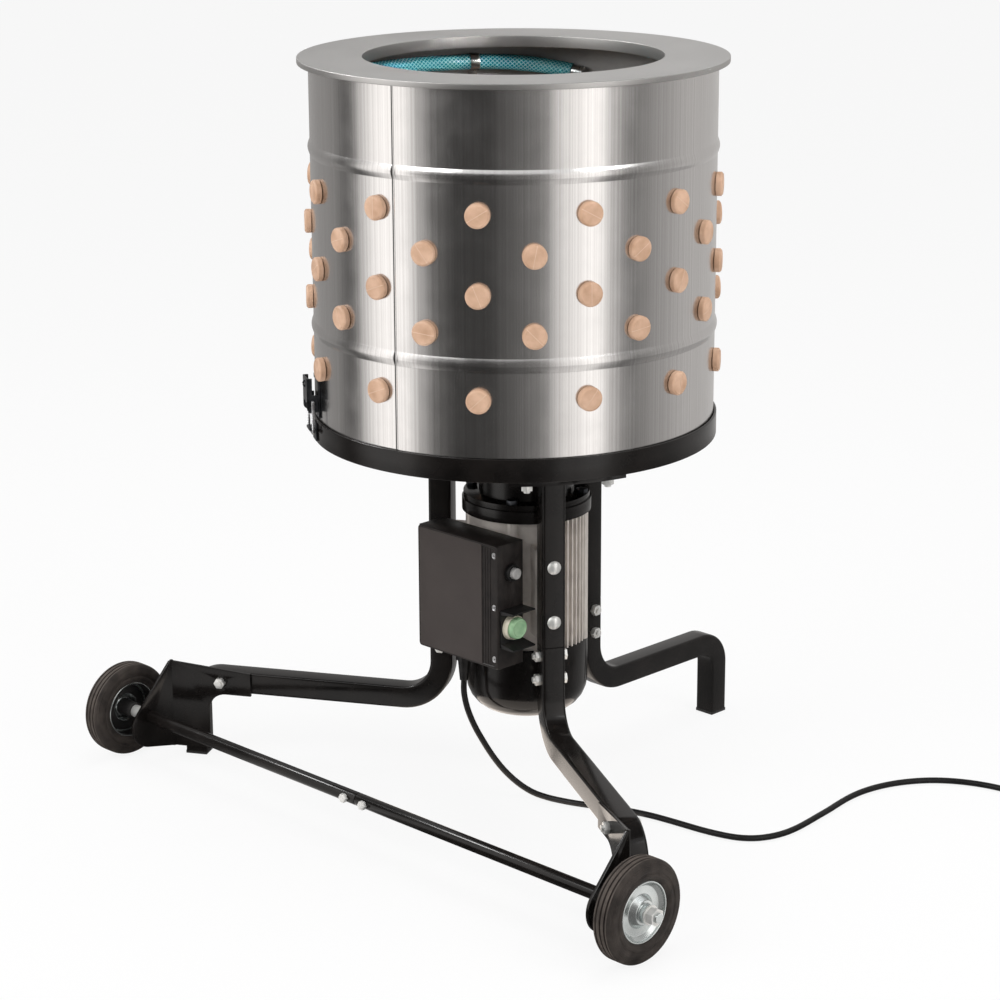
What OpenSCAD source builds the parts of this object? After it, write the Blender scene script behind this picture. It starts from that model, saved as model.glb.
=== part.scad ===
// Drum plucker for poultry: finger drum on a wheeled stand with a vertical gear motor.
// Millimetres, +Z up, floor at Z = 0, axle along X, rear foot towards +Y.

/* [Drum] */
// Outer diameter of the drum shell
drum_d = 508; // [470:1:530]
// Sheet thickness of the drum shell
drum_wall = 1; // [0.8:0.1:2]
// Height of the drum shell
drum_h = 473; // [450:1:520]
// Diameter of the mouth in the rim
mouth_d = 374; // [330:1:400]
// How far the rim stands out past the shell
rim_out = 14; // [10:0.5:20]
// Thickness of the rim sheet
rim_t = 2; // [1.5:0.5:3]
// Depth of the rim's turned-down outer lip
rim_lip = 5; // [4:0.5:12]
// Depth of the turned-down lip round the mouth
mouth_lip = 13; // [8:0.5:20]
// Height of the lower bead above the shell's bottom edge
low_bead_z = 140; // [130:1:145]
// Height of the upper bead above the shell's bottom edge
high_bead_z = 365; // [355:1:385]
// How far the beads stand out
bead_out = 4; // [3:0.5:6]
// Height of each bead
bead_h = 18; // [12:1:20]

/* [Plucking fingers] */
// Fingers in each row of the drum
row_fingers = 12; // [8:1:12]
// Height of the lowest row above the shell's bottom edge
low_row_z = 97; // [92:1:105]
// Height of the second row above the shell's bottom edge
second_row_z = 176; // [170:1:180]
// Height between the upper rows
row_step = 48; // [44:1:50]
// Diameter of a finger's head
head_d = 30; // [26:1:32]
// Thickness of a finger's head
head_t = 8.5; // [6:0.5:10]
// Diameter of a finger's neck, where it passes the sheet
neck_d = 18; // [15:0.5:20]
// Diameter of a finger's shoulder behind the sheet
shoulder_d = 23; // [21:0.5:25]
// Length of a drum finger inside the shell
finger_len = 85; // [60:1:95]
// Length of a finger above the feather plate
plate_finger_len = 58; // [40:1:60]
// Diameter of a finger's tip
tip_d = 13; // [10:0.5:15]
// Fingers in the plate's outer circle
outer_fingers = 12; // [8:1:14]
// Fingers in the plate's inner circle
inner_fingers = 6; // [4:1:8]

/* [Irrigation] */
// Outer diameter of the hose
hose_d = 21; // [16:0.5:24]
// Wall of the hose
hose_wall = 3; // [2:0.5:4]
// Depth of the hose's centre below the rim
hose_drop = 38; // [30:1:60]
// Width of a hose clip
clip_w = 12; // [8:1:16]

/* [Base] */
// Height of the base ring's underside above the floor
base_z = 493; // [480:1:520]
// Height of the base ring's band
ring_h = 29; // [24:1:34]
// Thickness of the base ring
ring_t = 3; // [2:0.5:4]
// Clearance between the drum and the band
ring_gap = 1; // [0.6:0.1:2]
// Width of the base ring's inner flange
flange_w = 20; // [18:0.5:24]
// Thickness of the spider under the ring
spider_t = 6; // [5:0.5:8]
// Radius of the spider's middle plate
spider_r = 136; // [132:1:145]
// Diameter of the feather plate
plate_d = 448; // [420:1:455]
// Thickness of the feather plate
plate_t = 3; // [2:0.5:5]
// Height of the feather plate above the spider
plate_lift = 17; // [15:0.5:20]

/* [Latches] */
// Direction of the front latch, in degrees from the front towards the right wheel
latch_at = -31.4; // [-36:0.1:-28]
// Turn from the front latch to the rear one
latch_spread = 196; // [190:1:200]
// Height of the lever's pivot above the ring's underside
latch_pivot_z = 47; // [45:0.5:52]
// Distance from the lever's pivot to the bail's pivot
latch_throw = 8; // [7:0.5:9]
// Length of the lever above its pivot
lever_len = 38; // [34:1:42]
// Width of the lever
lever_w = 27; // [24:1:30]
// Diameter of the bail wire and of the pivot pin
wire_d = 4; // [3:0.5:4.5]

/* [Stand] */
// Side of the square tube
leg_w = 30; // [28:1:32]
// Wall of the square tube
leg_wall = 2; // [1.5:0.5:3]
// Distance of the posts from the motor's axis
post_r = 114; // [112:1:116]
// Height of the legs' level run
leg_z = 109; // [106:1:116]
// Bend radius at the posts' foot
bend_r = 55; // [48:1:58]
// Bend radius above the feet
foot_bend_r = 34; // [28:1:44]
// Height of the joint between post and leg
joint_z = 232; // [226:1:240]
// Length of a front leg from the motor's axis
front_leg_len = 480; // [470:1:490]
// Distance of the rear foot from the motor's axis
rear_reach = 376; // [360:1:400]
// Thickness of a foot's pad
pad_t = 4; // [3:0.5:8]
// Offset of the drum's axis in front of the motor's axis
drum_offset = 22; // [18:0.5:26]

/* [Wheels] */
// Diameter of a wheel
wheel_d = 127; // [120:1:132]
// Width of a tyre
tyre_w = 30; // [26:1:34]
// Length of the spacer between a bracket and its wheel
spacer_len = 29.1514; // [24:0.0001:40]
// Distance of the axle in front of the motor's axis
axle_reach = 303; // [298:1:308]
// Diameter of the axle
axle_d = 12; // [10:0.5:12.5]
// Outer diameter of the axle sleeves
sleeve_d = 17; // [16:0.5:20]
// Thickness of the wheel brackets
bracket_t = 4; // [3:0.5:5]
// Diameter of a wheel's disc
disc_d = 76; // [70:1:82]
// Outer diameter of a wheel's hub
hub_d = 22; // [20:1:26]

/* [Motor] */
// Radius over the motor's fins
motor_r = 80; // [78:0.5:84]
// Height of the finned body's lower edge above the floor
motor_z = 210; // [206:1:214]
// Length of the finned body
motor_h = 174; // [170:1:176]
// Depth of the fins
fin_h = 7; // [5:0.5:9]
// Height of the fan cowl
cowl_h = 100; // [94:1:106]
// Thickness of the end bell
bell_t = 16; // [16:0.5:20]
// Radius of the gearbox
gearbox_r = 62; // [60:0.5:66]
// Module of the gears
gear_module = 1.5; // [1.45:0.01:1.55]
// Teeth of each pinion
pinion_teeth = 12; // [12:1:12]
// Teeth of each gear
gear_teeth = 30; // [30:1:30]
// Diameter of the output shaft
shaft_d = 17; // [15:0.5:18]

/* [Controls] */
// Width of the control box
box_w = 144; // [136:1:150]
// Height of the control box
box_h = 164; // [150:1:170]
// Depth of the control box without its lid
box_d = 43; // [40:1:48]
// Height of the control box's underside above the floor
box_z = 208; // [205:1:214]
// Thickness of the lid
lid_t = 3; // [2:0.5:4]
// Wall of the control box
box_wall = 3; // [2:0.5:4]
// Diameter of the start button
start_d = 28; // [24:0.5:30]
// Travel of the start button
start_travel = 4; // [3:0.5:4.5]
// Diameter of the reset button
reset_d = 14.5; // [11:0.5:16]
// Travel of the reset button
reset_travel = 3; // [2:0.5:3.5]
// How far the guard fins stand out
guard_out = 24; // [20:1:28]

/* [Power cord] */
// Diameter of the cord
cord_d = 8; // [7:0.5:8]

/* [Hidden] */
$fn = 64;

steel = [0.74, 0.74, 0.75];
zinc = [0.82, 0.83, 0.84];
black = [0.07, 0.07, 0.08];
dark = [0.27, 0.25, 0.24];
alloy = [0.62, 0.62, 0.6];
rubber = [0.12, 0.12, 0.12];
tan_rubber = [0.88, 0.69, 0.53];
teal = [0.05, 0.45, 0.5];
cream = [0.85, 0.82, 0.72];
mint = [0.35, 0.75, 0.6];
grey = [0.6, 0.6, 0.6];
copper = [0.6, 0.38, 0.25];

// Clearances
fit = 0.05;
loose = 0.3;
seat = 0.1;
over = 1;

// Places worked out from the driving sizes
drum_r = drum_d / 2;
wheel_r = wheel_d / 2;
axle_z = wheel_r;
motor_y = (axle_reach + wheel_r - rear_reach - leg_w / 2) / 2;
drum_y = motor_y - drum_offset;
axle_y = motor_y - axle_reach;
spider_z = base_z - spider_t;
shell_z = base_z + ring_t;
rim_z = shell_z + drum_h;
rim_r = drum_r + rim_out;
mouth_r = mouth_d / 2;
band_r = drum_r + ring_gap + ring_t;
leg_angles = [-60, 60, 180];
leg_side = 30;

// Fasteners: shank, head across flats, head height, nut height
bolt_d = 8;
hex_af = 13;
hex_h = 5.3;
nut_h = 6.5;
bolt_hole = bolt_d + 2 * seat;
tip_out = 3;
dome_d = 18;
dome_h = 4.5;
hex_r = hex_af / 2 / cos(30);

// Turns a shape built along +X to a direction given from the front towards the right wheel
module face(angle) {
    rotate([0, 0, angle - 90])
        children();
}

module at_motor() {
    translate([0, motor_y, 0])
        children();
}

module at_drum() {
    translate([0, drum_y, 0])
        children();
}

// Lays a shape built along +Z along +X
module along_x() {
    rotate([0, 90, 0])
        children();
}

// Lays a shape built along +Z along +Y
module along_y() {
    rotate([-90, 0, 0])
        children();
}

module hex_prism(height) {
    cylinder(r = hex_r, h = height, $fn = 6);
}

// Hex bolt along +Z: the head's seat at 0, the head below, a nut that seats at grip
module hex_bolt(grip) {
    translate([0, 0, -hex_h])
        hex_prism(hex_h);
    cylinder(d = bolt_d, h = grip + nut_h + tip_out);
    translate([0, 0, grip])
        hex_prism(nut_h);
}

// Round head of a carriage bolt, seated at 0 and standing up along +Z
module dome_head() {
    ball_r = (dome_d * dome_d / 4 + dome_h * dome_h) / (2 * dome_h);
    intersection() {
        translate([0, 0, dome_h - ball_r])
            sphere(r = ball_r);
        cylinder(d = dome_d + over, h = dome_h + over);
    }
}

// Drum

bead_steps = 6;
function bead_bulge(t) = bead_out * (1 + cos(180 * t)) / 2;
function bead_line(middle, radius) = [
    for (i = [-bead_steps : bead_steps])
        [radius + bead_bulge(i / bead_steps), middle + i / bead_steps * bead_h / 2]
];
function shell_line(radius) = concat(
    [[radius, 0]],
    bead_line(low_bead_z, radius),
    bead_line(high_bead_z, radius),
    [[radius, drum_h]]
);
function reversed(list) = [for (i = [len(list) - 1 : -1 : 0]) list[i]];

row_heights = [
    low_row_z, second_row_z, second_row_z + row_step,
    second_row_z + 2 * row_step, second_row_z + 3 * row_step
];
row_turns = [5, 20, 5, 20, 5];
finger_step = 360 / row_fingers;
neck_hole_d = neck_d + 2 * seat;

// Repeats a shape built along +X from the shell's outer face at every drum finger
module each_drum_finger() {
    for (row = [0 : len(row_heights) - 1])
        for (i = [0 : row_fingers - 1])
            face(row_turns[row] + i * finger_step)
                translate([drum_r, 0, shell_z + row_heights[row]])
                    children();
}

inlet_at = 164;
inlet_d = 20;
hose_z = rim_z - hose_drop;
hose_r = drum_r - drum_wall - loose - hose_d / 2;

module drum_shell() {
    color(steel) at_drum() difference() {
        translate([0, 0, shell_z])
            rotate_extrude()
                polygon(concat(shell_line(drum_r), reversed(shell_line(drum_r - drum_wall))));
        each_drum_finger()
            translate([-drum_wall - over, 0, 0])
                along_x() cylinder(d = neck_hole_d, h = drum_wall + 2 * over);
        face(inlet_at)
            translate([drum_r - drum_wall - over, 0, hose_z])
                along_x() cylinder(d = inlet_d + 2 * seat, h = drum_wall + 2 * over);
    }
}

module drum_rim() {
    color(steel) at_drum() translate([0, 0, rim_z])
        rotate_extrude()
            polygon([
                [mouth_r, -mouth_lip], [mouth_r, rim_t], [rim_r, rim_t], [rim_r, -rim_lip],
                [rim_r - rim_t, -rim_lip], [rim_r - rim_t, 0],
                [mouth_r + rim_t, 0], [mouth_r + rim_t, -mouth_lip]
            ]);
}

// Rubber finger along -Z from the sheet's face at 0, its head on the +Z side
module rubber_finger(sheet, length) {
    neck = sheet + seat;
    shoulder_len = 6;
    head_edge = 2.5;
    rotate_extrude()
        polygon([
            [0, head_t], [head_d / 2 - head_edge, head_t], [head_d / 2, head_t - head_edge],
            [head_d / 2, seat], [neck_d / 2, seat], [neck_d / 2, -neck],
            [shoulder_d / 2, -neck], [shoulder_d / 2, -neck - shoulder_len],
            [neck_d / 2, -neck - shoulder_len - 2], [tip_d / 2, -length + tip_d / 4],
            [tip_d / 4, -length], [0, -length]
        ]);
}

// How far the round sheet bows away from flat across a finger's shoulder
sheet_r = drum_r - drum_wall;
shoulder_bow = sheet_r - sqrt(sheet_r * sheet_r - shoulder_d * shoulder_d / 4);

module drum_fingers() {
    color(tan_rubber) at_drum() each_drum_finger()
        along_x() rubber_finger(drum_wall + shoulder_bow, finger_len);
}

// Irrigation hose under the rim, from its inlet round to its plugged end

hose_start = 206;
hose_sweep = 314;
clip_angles = [117, 237, 357];
clip_t = 1.2;

module irrigation_hose() {
    color(teal) at_drum() translate([0, 0, hose_z])
        face(hose_start) rotate_extrude(angle = hose_sweep)
            translate([hose_r, 0]) difference() {
                circle(d = hose_d);
                circle(d = hose_d - 2 * hose_wall);
            }
}

clip_tab_h = 22;

// Band round the hose, a strip under it and a tab down the shell's wall
module hose_clips() {
    ring_inner = hose_d / 2 + seat;
    wall_x = sqrt(sheet_r * sheet_r - clip_w * clip_w / 4) - seat - hose_r;
    strip_t = clip_t - 3 * seat;
    strip_z = -ring_inner - clip_t + 2 * seat;
    color(zinc) at_drum() for (angle = clip_angles)
        face(angle) translate([hose_r, 0, hose_z]) {
            along_y() translate([0, 0, -clip_w / 2]) intersection() {
                difference() {
                    cylinder(r = ring_inner + clip_t, h = clip_w);
                    translate([0, 0, -over])
                        cylinder(r = ring_inner, h = clip_w + 2 * over);
                }
                translate([-hose_d - clip_t, -hose_d, -over])
                    cube([hose_d + clip_t, 2 * hose_d, clip_w + 2 * over]);
            }
            translate([-over, -clip_w / 2, strip_z])
                cube([wall_x + over, clip_w, strip_t]);
            translate([wall_x - clip_t, -clip_w / 2, strip_z - clip_tab_h])
                cube([clip_t, clip_w, clip_tab_h + strip_t / 2]);
        }
}

thread_d = 26.4;
thread_len = 30;
plug_len = 16;
collar_d = hose_d - 2;

// Plug in the hose's blind end, and the inlet whose collar meets the other end inside the shell
module hose_fittings() {
    face_turn = inlet_at + 360 - hose_start - hose_sweep;
    collar_len = (hose_r - collar_d / 2) * tan(face_turn) - seat;
    color(zinc) at_drum() translate([0, 0, hose_z]) {
        face(hose_start) translate([hose_r, -seat, 0])
            mirror([0, 1, 0]) along_y() cylinder(d = collar_d, h = plug_len);
        face(inlet_at) {
            translate([hose_r, 0, 0]) {
                sphere(d = inlet_d);
                along_x() cylinder(d = inlet_d, h = drum_r - hose_r + over);
                mirror([0, 1, 0]) along_y() cylinder(d = collar_d, h = collar_len);
            }
            translate([drum_r + over, 0, 0])
                along_x() cylinder(d = thread_d, h = thread_len);
        }
    }
}

// Toggle latches: a local frame with X along the shell, Y outwards, Z up from the ring's underside

latch_back = drum_r + seat;
latch_plate_t = 2;
latch_axis_r = latch_back + latch_plate_t + 8;
ear_t = 2;
ear_x = lever_w / 2 - 2 * ear_t - loose;
cheek_x = lever_w / 2 - ear_t;
bail_x = lever_w / 2 + wire_d / 2 + loose;
ear_r = 6;
cheek_r = 7;
catch_top_z = 20;
ledge_t = 3;
catch_w = 22;
bail_drop = latch_pivot_z + latch_throw - (catch_top_z - ledge_t - loose - wire_d / 2);
rivet_d = 6;
latch_turns = [latch_at, latch_at + latch_spread];

module latch_frame(turn) {
    at_drum() rotate([0, 0, turn + 180]) translate([0, 0, base_z])
        children();
}

// Round bar along X, centred
module bar_x(diameter, length) {
    along_x() cylinder(d = diameter, h = length, center = true);
}

module latch_base() {
    plate_low = ring_h + 4;
    plate_high = latch_pivot_z + lever_len + 6;
    difference() {
        union() {
            translate([-lever_w / 2, latch_back, plate_low])
                cube([lever_w, latch_plate_t, plate_high - plate_low]);
            for (side = [-1, 1])
                translate([side * (ear_x + ear_t / 2), latch_axis_r, latch_pivot_z]) {
                    bar_x(2 * ear_r, ear_t);
                    translate([-ear_t / 2, latch_back - latch_axis_r, -ear_r])
                        cube([ear_t, latch_axis_r - latch_back, 2 * ear_r]);
                }
        }
        translate([0, latch_axis_r, latch_pivot_z])
            bar_x(wire_d + 2 * fit, lever_w + over);
    }
}

module latch_bases() {
    color(zinc) for (turn = latch_turns)
        latch_frame(turn) latch_base();
}

// Pivot pin of each lever, and the two rivet heads inside each base
module latch_pins() {
    color(zinc) for (turn = latch_turns)
        latch_frame(turn) {
            translate([0, latch_axis_r, latch_pivot_z])
                bar_x(wire_d, lever_w);
            for (side = [-1, 1])
                translate([side * rivet_d, latch_back + latch_plate_t, latch_pivot_z + lever_len])
                    along_y() cylinder(d = rivet_d, h = 2);
        }
}

module latch_lever(turn) {
    cover_y = latch_axis_r + cheek_r - ear_t;
    color(zinc) latch_frame(turn) difference() {
        union() {
            for (side = [-1, 1])
                translate([side * (cheek_x + ear_t / 2), latch_axis_r, latch_pivot_z]) {
                    bar_x(2 * cheek_r, ear_t);
                    translate([-ear_t / 2, -cheek_r, 0])
                        cube([ear_t, 2 * cheek_r, latch_throw + 8]);
                    translate([-ear_t / 2, 0, 0])
                        cube([ear_t, cheek_r, lever_len]);
                }
            translate([-lever_w / 2, cover_y, latch_pivot_z + cheek_r])
                cube([lever_w, ear_t, lever_len - cheek_r]);
        }
        translate([0, latch_axis_r, latch_pivot_z])
            bar_x(wire_d + 2 * fit, lever_w + over);
        translate([0, latch_axis_r, latch_pivot_z + latch_throw])
            bar_x(wire_d * bail_pin_share + 2 * fit, lever_w + over);
    }
}

// The bail's pins are turned down so that they clear the lever's own pin
bail_pin_share = 0.75;

module latch_bail(turn) {
    pin_z = latch_pivot_z + latch_throw;
    color(zinc) latch_frame(turn) translate([0, latch_axis_r, pin_z]) {
        for (side = [-1, 1]) {
            translate([side * bail_x, 0, -bail_drop])
                cylinder(d = wire_d, h = bail_drop);
            translate([side * bail_x, 0, -bail_drop])
                sphere(d = wire_d);
            translate([side * bail_x, 0, 0])
                sphere(d = wire_d);
            translate([side * (cheek_x + bail_x) / 2, 0, 0])
                bar_x(wire_d * bail_pin_share, bail_x - cheek_x);
        }
        translate([0, 0, -bail_drop])
            bar_x(wire_d, 2 * bail_x);
    }
}

module latch_catches() {
    catch_back = band_r + seat;
    ledge_out = latch_axis_r + wire_d - catch_back;
    color(zinc) for (turn = latch_turns)
        latch_frame(turn) {
            translate([-catch_w / 2, catch_back, ledge_t])
                cube([catch_w, latch_plate_t, ring_h - 2 * ledge_t]);
            translate([-catch_w / 2, catch_back, catch_top_z - ledge_t])
                cube([catch_w, ledge_out, ledge_t]);
        }
}

// Base

ring_bolt_r = drum_r - drum_wall - hex_r - 1;
ring_bolt_turn = 12;
arm_w = 50;
arm_end_turn = 17;
spider_bore_d = 50;
spider_bolt_r = 46;
spider_bolt_turns = [60, 120, 240, 300];
ring_inner_r = band_r - flange_w - ring_t;

module each_ring_bolt() {
    for (angle = leg_angles)
        for (side = [-1, 1])
            face(angle + side * ring_bolt_turn)
                translate([ring_bolt_r, 0, 0])
                    children();
}

module base_ring() {
    color(black) at_drum() difference() {
        translate([0, 0, base_z]) rotate_extrude()
            polygon([
                [ring_inner_r, 0], [band_r, 0], [band_r, ring_h], [band_r - ring_t, ring_h],
                [band_r - ring_t, ring_t], [ring_inner_r, ring_t]
            ]);
        each_ring_bolt() translate([0, 0, base_z - over])
            cylinder(d = bolt_hole, h = ring_t + 2 * over);
    }
}

module base_spider() {
    arm_inner_r = spider_r / 2;
    arm_outer_r = ring_bolt_r + hex_r;
    color(black) difference() {
        union() {
            at_motor() translate([0, 0, spider_z])
                cylinder(r = spider_r, h = spider_t);
            at_drum() for (angle = leg_angles)
                face(angle) {
                    translate([arm_inner_r, -arm_w / 2, spider_z])
                        cube([ring_inner_r - arm_inner_r, arm_w, spider_t]);
                    rotate([0, 0, -arm_end_turn]) translate([0, 0, spider_z])
                        rotate_extrude(angle = 2 * arm_end_turn)
                            translate([ring_inner_r - hex_r, 0])
                                square([arm_outer_r - ring_inner_r + hex_r, spider_t]);
                }
        }
        at_drum() translate([0, 0, spider_z - over])
            cylinder(d = spider_bore_d, h = spider_t + 2 * over);
        at_drum() each_ring_bolt() translate([0, 0, spider_z - over])
            cylinder(d = bolt_hole, h = spider_t + 2 * over);
        at_motor() for (turn = spider_bolt_turns)
            face(turn) translate([spider_bolt_r, 0, spider_z - over])
                cylinder(d = bolt_hole, h = spider_t + 2 * over);
    }
}

spider_bolt_depth = 20;

// Bolts that hold the ring on the spider, and screws that hold the spider on the gearbox
module ring_bolts() {
    color(zinc) {
        at_drum() each_ring_bolt() translate([0, 0, shell_z])
            mirror([0, 0, 1]) hex_bolt(ring_t + spider_t);
        at_motor() for (turn = spider_bolt_turns)
            face(turn) translate([spider_bolt_r, 0, base_z - spider_t - spider_bolt_depth]) {
                cylinder(d = bolt_d, h = spider_bolt_depth + spider_t);
                translate([0, 0, spider_bolt_depth + spider_t])
                    hex_prism(hex_h);
            }
    }
}

plate_z = base_z + plate_lift;
hub_r = 26;
hub_flange_r = 45;
hub_flange_t = 5;
hub_top = 18;
hub_gap = 4;
outer_circle_r = plate_d / 2 - head_d / 2 - 6;
inner_circle_r = outer_circle_r * 0.55;

module each_plate_finger() {
    for (i = [0 : outer_fingers - 1])
        face(i * 360 / outer_fingers)
            translate([outer_circle_r, 0, plate_z])
                children();
    for (i = [0 : inner_fingers - 1])
        face((i + 0.5) * 360 / inner_fingers)
            translate([inner_circle_r, 0, plate_z])
                children();
}

// Turning plate at the drum's foot, with its hub
module feather_plate() {
    color(steel) at_drum() difference() {
        union() {
            translate([0, 0, plate_z]) cylinder(d = plate_d, h = plate_t);
            translate([0, 0, base_z + hub_gap])
                cylinder(r = hub_r, h = plate_lift + plate_t + hub_top - hub_gap);
            translate([0, 0, plate_z - hub_flange_t])
                cylinder(r = hub_flange_r, h = hub_flange_t + plate_t);
        }
        translate([0, 0, base_z])
            cylinder(d = shaft_d + 2 * fit, h = plate_lift + plate_t + hub_top + over);
        each_plate_finger() translate([0, 0, -over])
            cylinder(d = neck_hole_d, h = plate_t + 2 * over);
    }
}

// Fingers that stand on the feather plate, their heads under it
module plate_fingers() {
    color(tan_rubber) at_drum() each_plate_finger()
        mirror([0, 0, 1]) rubber_finger(plate_t + seat, plate_finger_len + plate_t);
}

shaft_top = plate_z + plate_t + hub_top - 2;

// Centre bolt and washer that hold the hub on its shaft
module plate_bolt() {
    washer_t = 2;
    hub_end = plate_z + plate_t + hub_top;
    color(zinc) at_drum() translate([0, 0, hub_end]) {
        cylinder(r = hub_r - 6, h = washer_t);
        translate([0, 0, washer_t]) hex_prism(hex_h);
        translate([0, 0, shaft_top - hub_end - bolt_len])
            cylinder(d = bolt_d, h = bolt_len + hub_end - shaft_top);
    }
}

bolt_len = 16;

// Gear train: motor pinion to idler gear, idler pinion to output gear

pressure = 20;
tooth_play = 0.12;
gear_addendum = 0.8 * gear_module;
pinion_addendum = gear_module;
dedendum = 1.25 * gear_module;
centre_distance = gear_module * (pinion_teeth + gear_teeth) / 2;
idler_x = sqrt(centre_distance * centre_distance - drum_offset * drum_offset / 4);
idler_y = motor_y - drum_offset / 2;
idler_dir = atan2(-drum_offset / 2, idler_x);
output_dir = atan2(-drum_offset / 2, -idler_x);
flank_steps = 3;

function involute(r, base) = r <= base ? 0 : involute_at(sqrt(pow(r / base, 2) - 1));
function involute_at(t) = t * 180 / PI - atan(t);
function half_tooth(r, pitch, base, teeth) =
    90 / teeth - tooth_play / 2 / pitch * 180 / PI + involute(pitch, base) - involute(r, base);
function tooth_radii(root, base, tip) = concat(
    [root],
    [for (i = [0 : flank_steps]) max(root, base) + (tip - max(root, base)) * i / flank_steps]
);
function gear_outline(teeth, addendum) =
    let (pitch = gear_module * teeth / 2)
    let (base = pitch * cos(pressure))
    let (radii = tooth_radii(pitch - dedendum, base, pitch + addendum))
    [
        for (k = [0 : teeth - 1])
            for (side = [-1, 1])
                for (i = [0 : len(radii) - 1])
                    let (r = side < 0 ? radii[i] : radii[len(radii) - 1 - i])
                    let (a = 360 * k / teeth + side * half_tooth(r, pitch, base, teeth))
                    [r * cos(a), r * sin(a)]
    ];

module gear_body(teeth, addendum, height) {
    linear_extrude(height)
        polygon(gear_outline(teeth, addendum));
}

bell_z = motor_z + motor_h;
gear_floor = bell_z + bell_t;
low_mesh_z = gear_floor + 4;
low_mesh_h = 12;
high_mesh_z = low_mesh_z + low_mesh_h + 6;
high_mesh_h = 14;
cavity_top = high_mesh_z + high_mesh_h + 4;

// Bearings: bore, outside diameter and width
rotor_bearing = [15, 35, 11];
idler_bearing = [8, 22, 7];
output_bearing = [shaft_d, shaft_d + 23, 12];
idler_low_z = gear_floor - idler_bearing[2];
idler_high_z = cavity_top;
output_low_z = idler_high_z + idler_bearing[2] + 3;
output_high_z = spider_z - 8 - output_bearing[2];
rotor_low_z = motor_z + 8;
rotor_high_z = bell_z + 2;
seal_h = 6;

module at_idler() {
    translate([idler_x, idler_y, 0])
        children();
}

module output_shaft() {
    color(steel) at_drum() difference() {
        translate([0, 0, high_mesh_z - 2])
            cylinder(d = shaft_d, h = shaft_top - high_mesh_z + 2);
        translate([0, 0, shaft_top - bolt_len - over])
            cylinder(d = bolt_d + 2 * seat, h = bolt_len + 2 * over);
    }
}

module output_gear() {
    color(steel) at_drum() translate([0, 0, high_mesh_z]) difference() {
        rotate([0, 0, output_dir + 180 + 180 / gear_teeth])
            gear_body(gear_teeth, gear_addendum, high_mesh_h);
        translate([0, 0, -over])
            cylinder(d = shaft_d + 2 * fit, h = high_mesh_h + 2 * over);
    }
}

// Shaft with its gear and pinion cut on it
module idler_shaft() {
    gap = 0.5;
    color(steel) at_idler() {
        translate([0, 0, idler_low_z + gap])
            cylinder(d = idler_bearing[0], h = idler_high_z + idler_bearing[2] - idler_low_z - 2 * gap);
        translate([0, 0, low_mesh_z])
            rotate([0, 0, idler_dir + 180 + 180 / gear_teeth])
                gear_body(gear_teeth, gear_addendum, low_mesh_h);
        translate([0, 0, low_mesh_z + low_mesh_h])
            rotate([0, 0, output_dir])
                gear_body(pinion_teeth, pinion_addendum, cavity_top - 1 - low_mesh_z - low_mesh_h);
    }
}

fan_z = motor_z - 34;
fan_h = 24;
shaft_low = fan_z - 6;
rotor_r = 38;
rotor_gap = 0.5;
core_low = motor_z + 26;
core_h = motor_h - 42;

// Motor shaft with its pinion cut on the upper end
module motor_shaft() {
    color(steel) at_motor() {
        translate([0, 0, shaft_low])
            cylinder(d = rotor_bearing[0], h = gear_floor + 1 - shaft_low);
        translate([0, 0, gear_floor + 1])
            rotate([0, 0, idler_dir])
                gear_body(pinion_teeth, pinion_addendum, low_mesh_z + low_mesh_h - gear_floor);
    }
}

module rotor_core() {
    color(steel) at_motor() translate([0, 0, core_low]) difference() {
        cylinder(r = rotor_r - rotor_gap, h = core_h);
        translate([0, 0, -over])
            cylinder(d = rotor_bearing[0] + 2 * fit, h = core_h + 2 * over);
    }
}

fan_blades = 8;
fan_r = 62;

module cooling_fan() {
    hub = 16;
    blade_t = 3;
    color(black) at_motor() translate([0, 0, fan_z]) difference() {
        union() {
            cylinder(r = hub, h = fan_h);
            cylinder(r = fan_r, h = blade_t);
            for (i = [0 : fan_blades - 1])
                face(i * 360 / fan_blades)
                    translate([hub / 2, -blade_t / 2, 0])
                        cube([fan_r - hub / 2 - over, blade_t, fan_h]);
        }
        translate([0, 0, -over])
            cylinder(d = rotor_bearing[0] + 2 * fit, h = fan_h + 2 * over);
    }
}

module bearing(size) {
    difference() {
        cylinder(d = size[1] - 2 * fit, h = size[2]);
        translate([0, 0, -over])
            cylinder(d = size[0] + 2 * fit, h = size[2] + 2 * over);
    }
}

module ball_bearings() {
    color(steel) {
        at_motor() {
            translate([0, 0, rotor_low_z]) bearing(rotor_bearing);
            translate([0, 0, rotor_high_z]) bearing(rotor_bearing);
        }
        at_idler() {
            translate([0, 0, idler_low_z]) bearing(idler_bearing);
            translate([0, 0, idler_high_z]) bearing(idler_bearing);
        }
        at_drum() {
            translate([0, 0, output_low_z]) bearing(output_bearing);
            translate([0, 0, output_high_z]) bearing(output_bearing);
        }
    }
}

module shaft_seal() {
    color(rubber) at_drum() translate([0, 0, spider_z - seal_h])
        bearing([shaft_d, output_bearing[1] - 4, seal_h]);
}

body_bore_r = 64;

module stator() {
    color(copper) at_motor() translate([0, 0, core_low]) difference() {
        cylinder(r = body_bore_r - seat, h = core_h);
        translate([0, 0, -over])
            cylinder(r = rotor_r, h = core_h + 2 * over);
    }
}

// Motor and gearbox cases

cavity_r = centre_distance + gear_module * gear_teeth / 2 + gear_addendum + 1.5;

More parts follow.
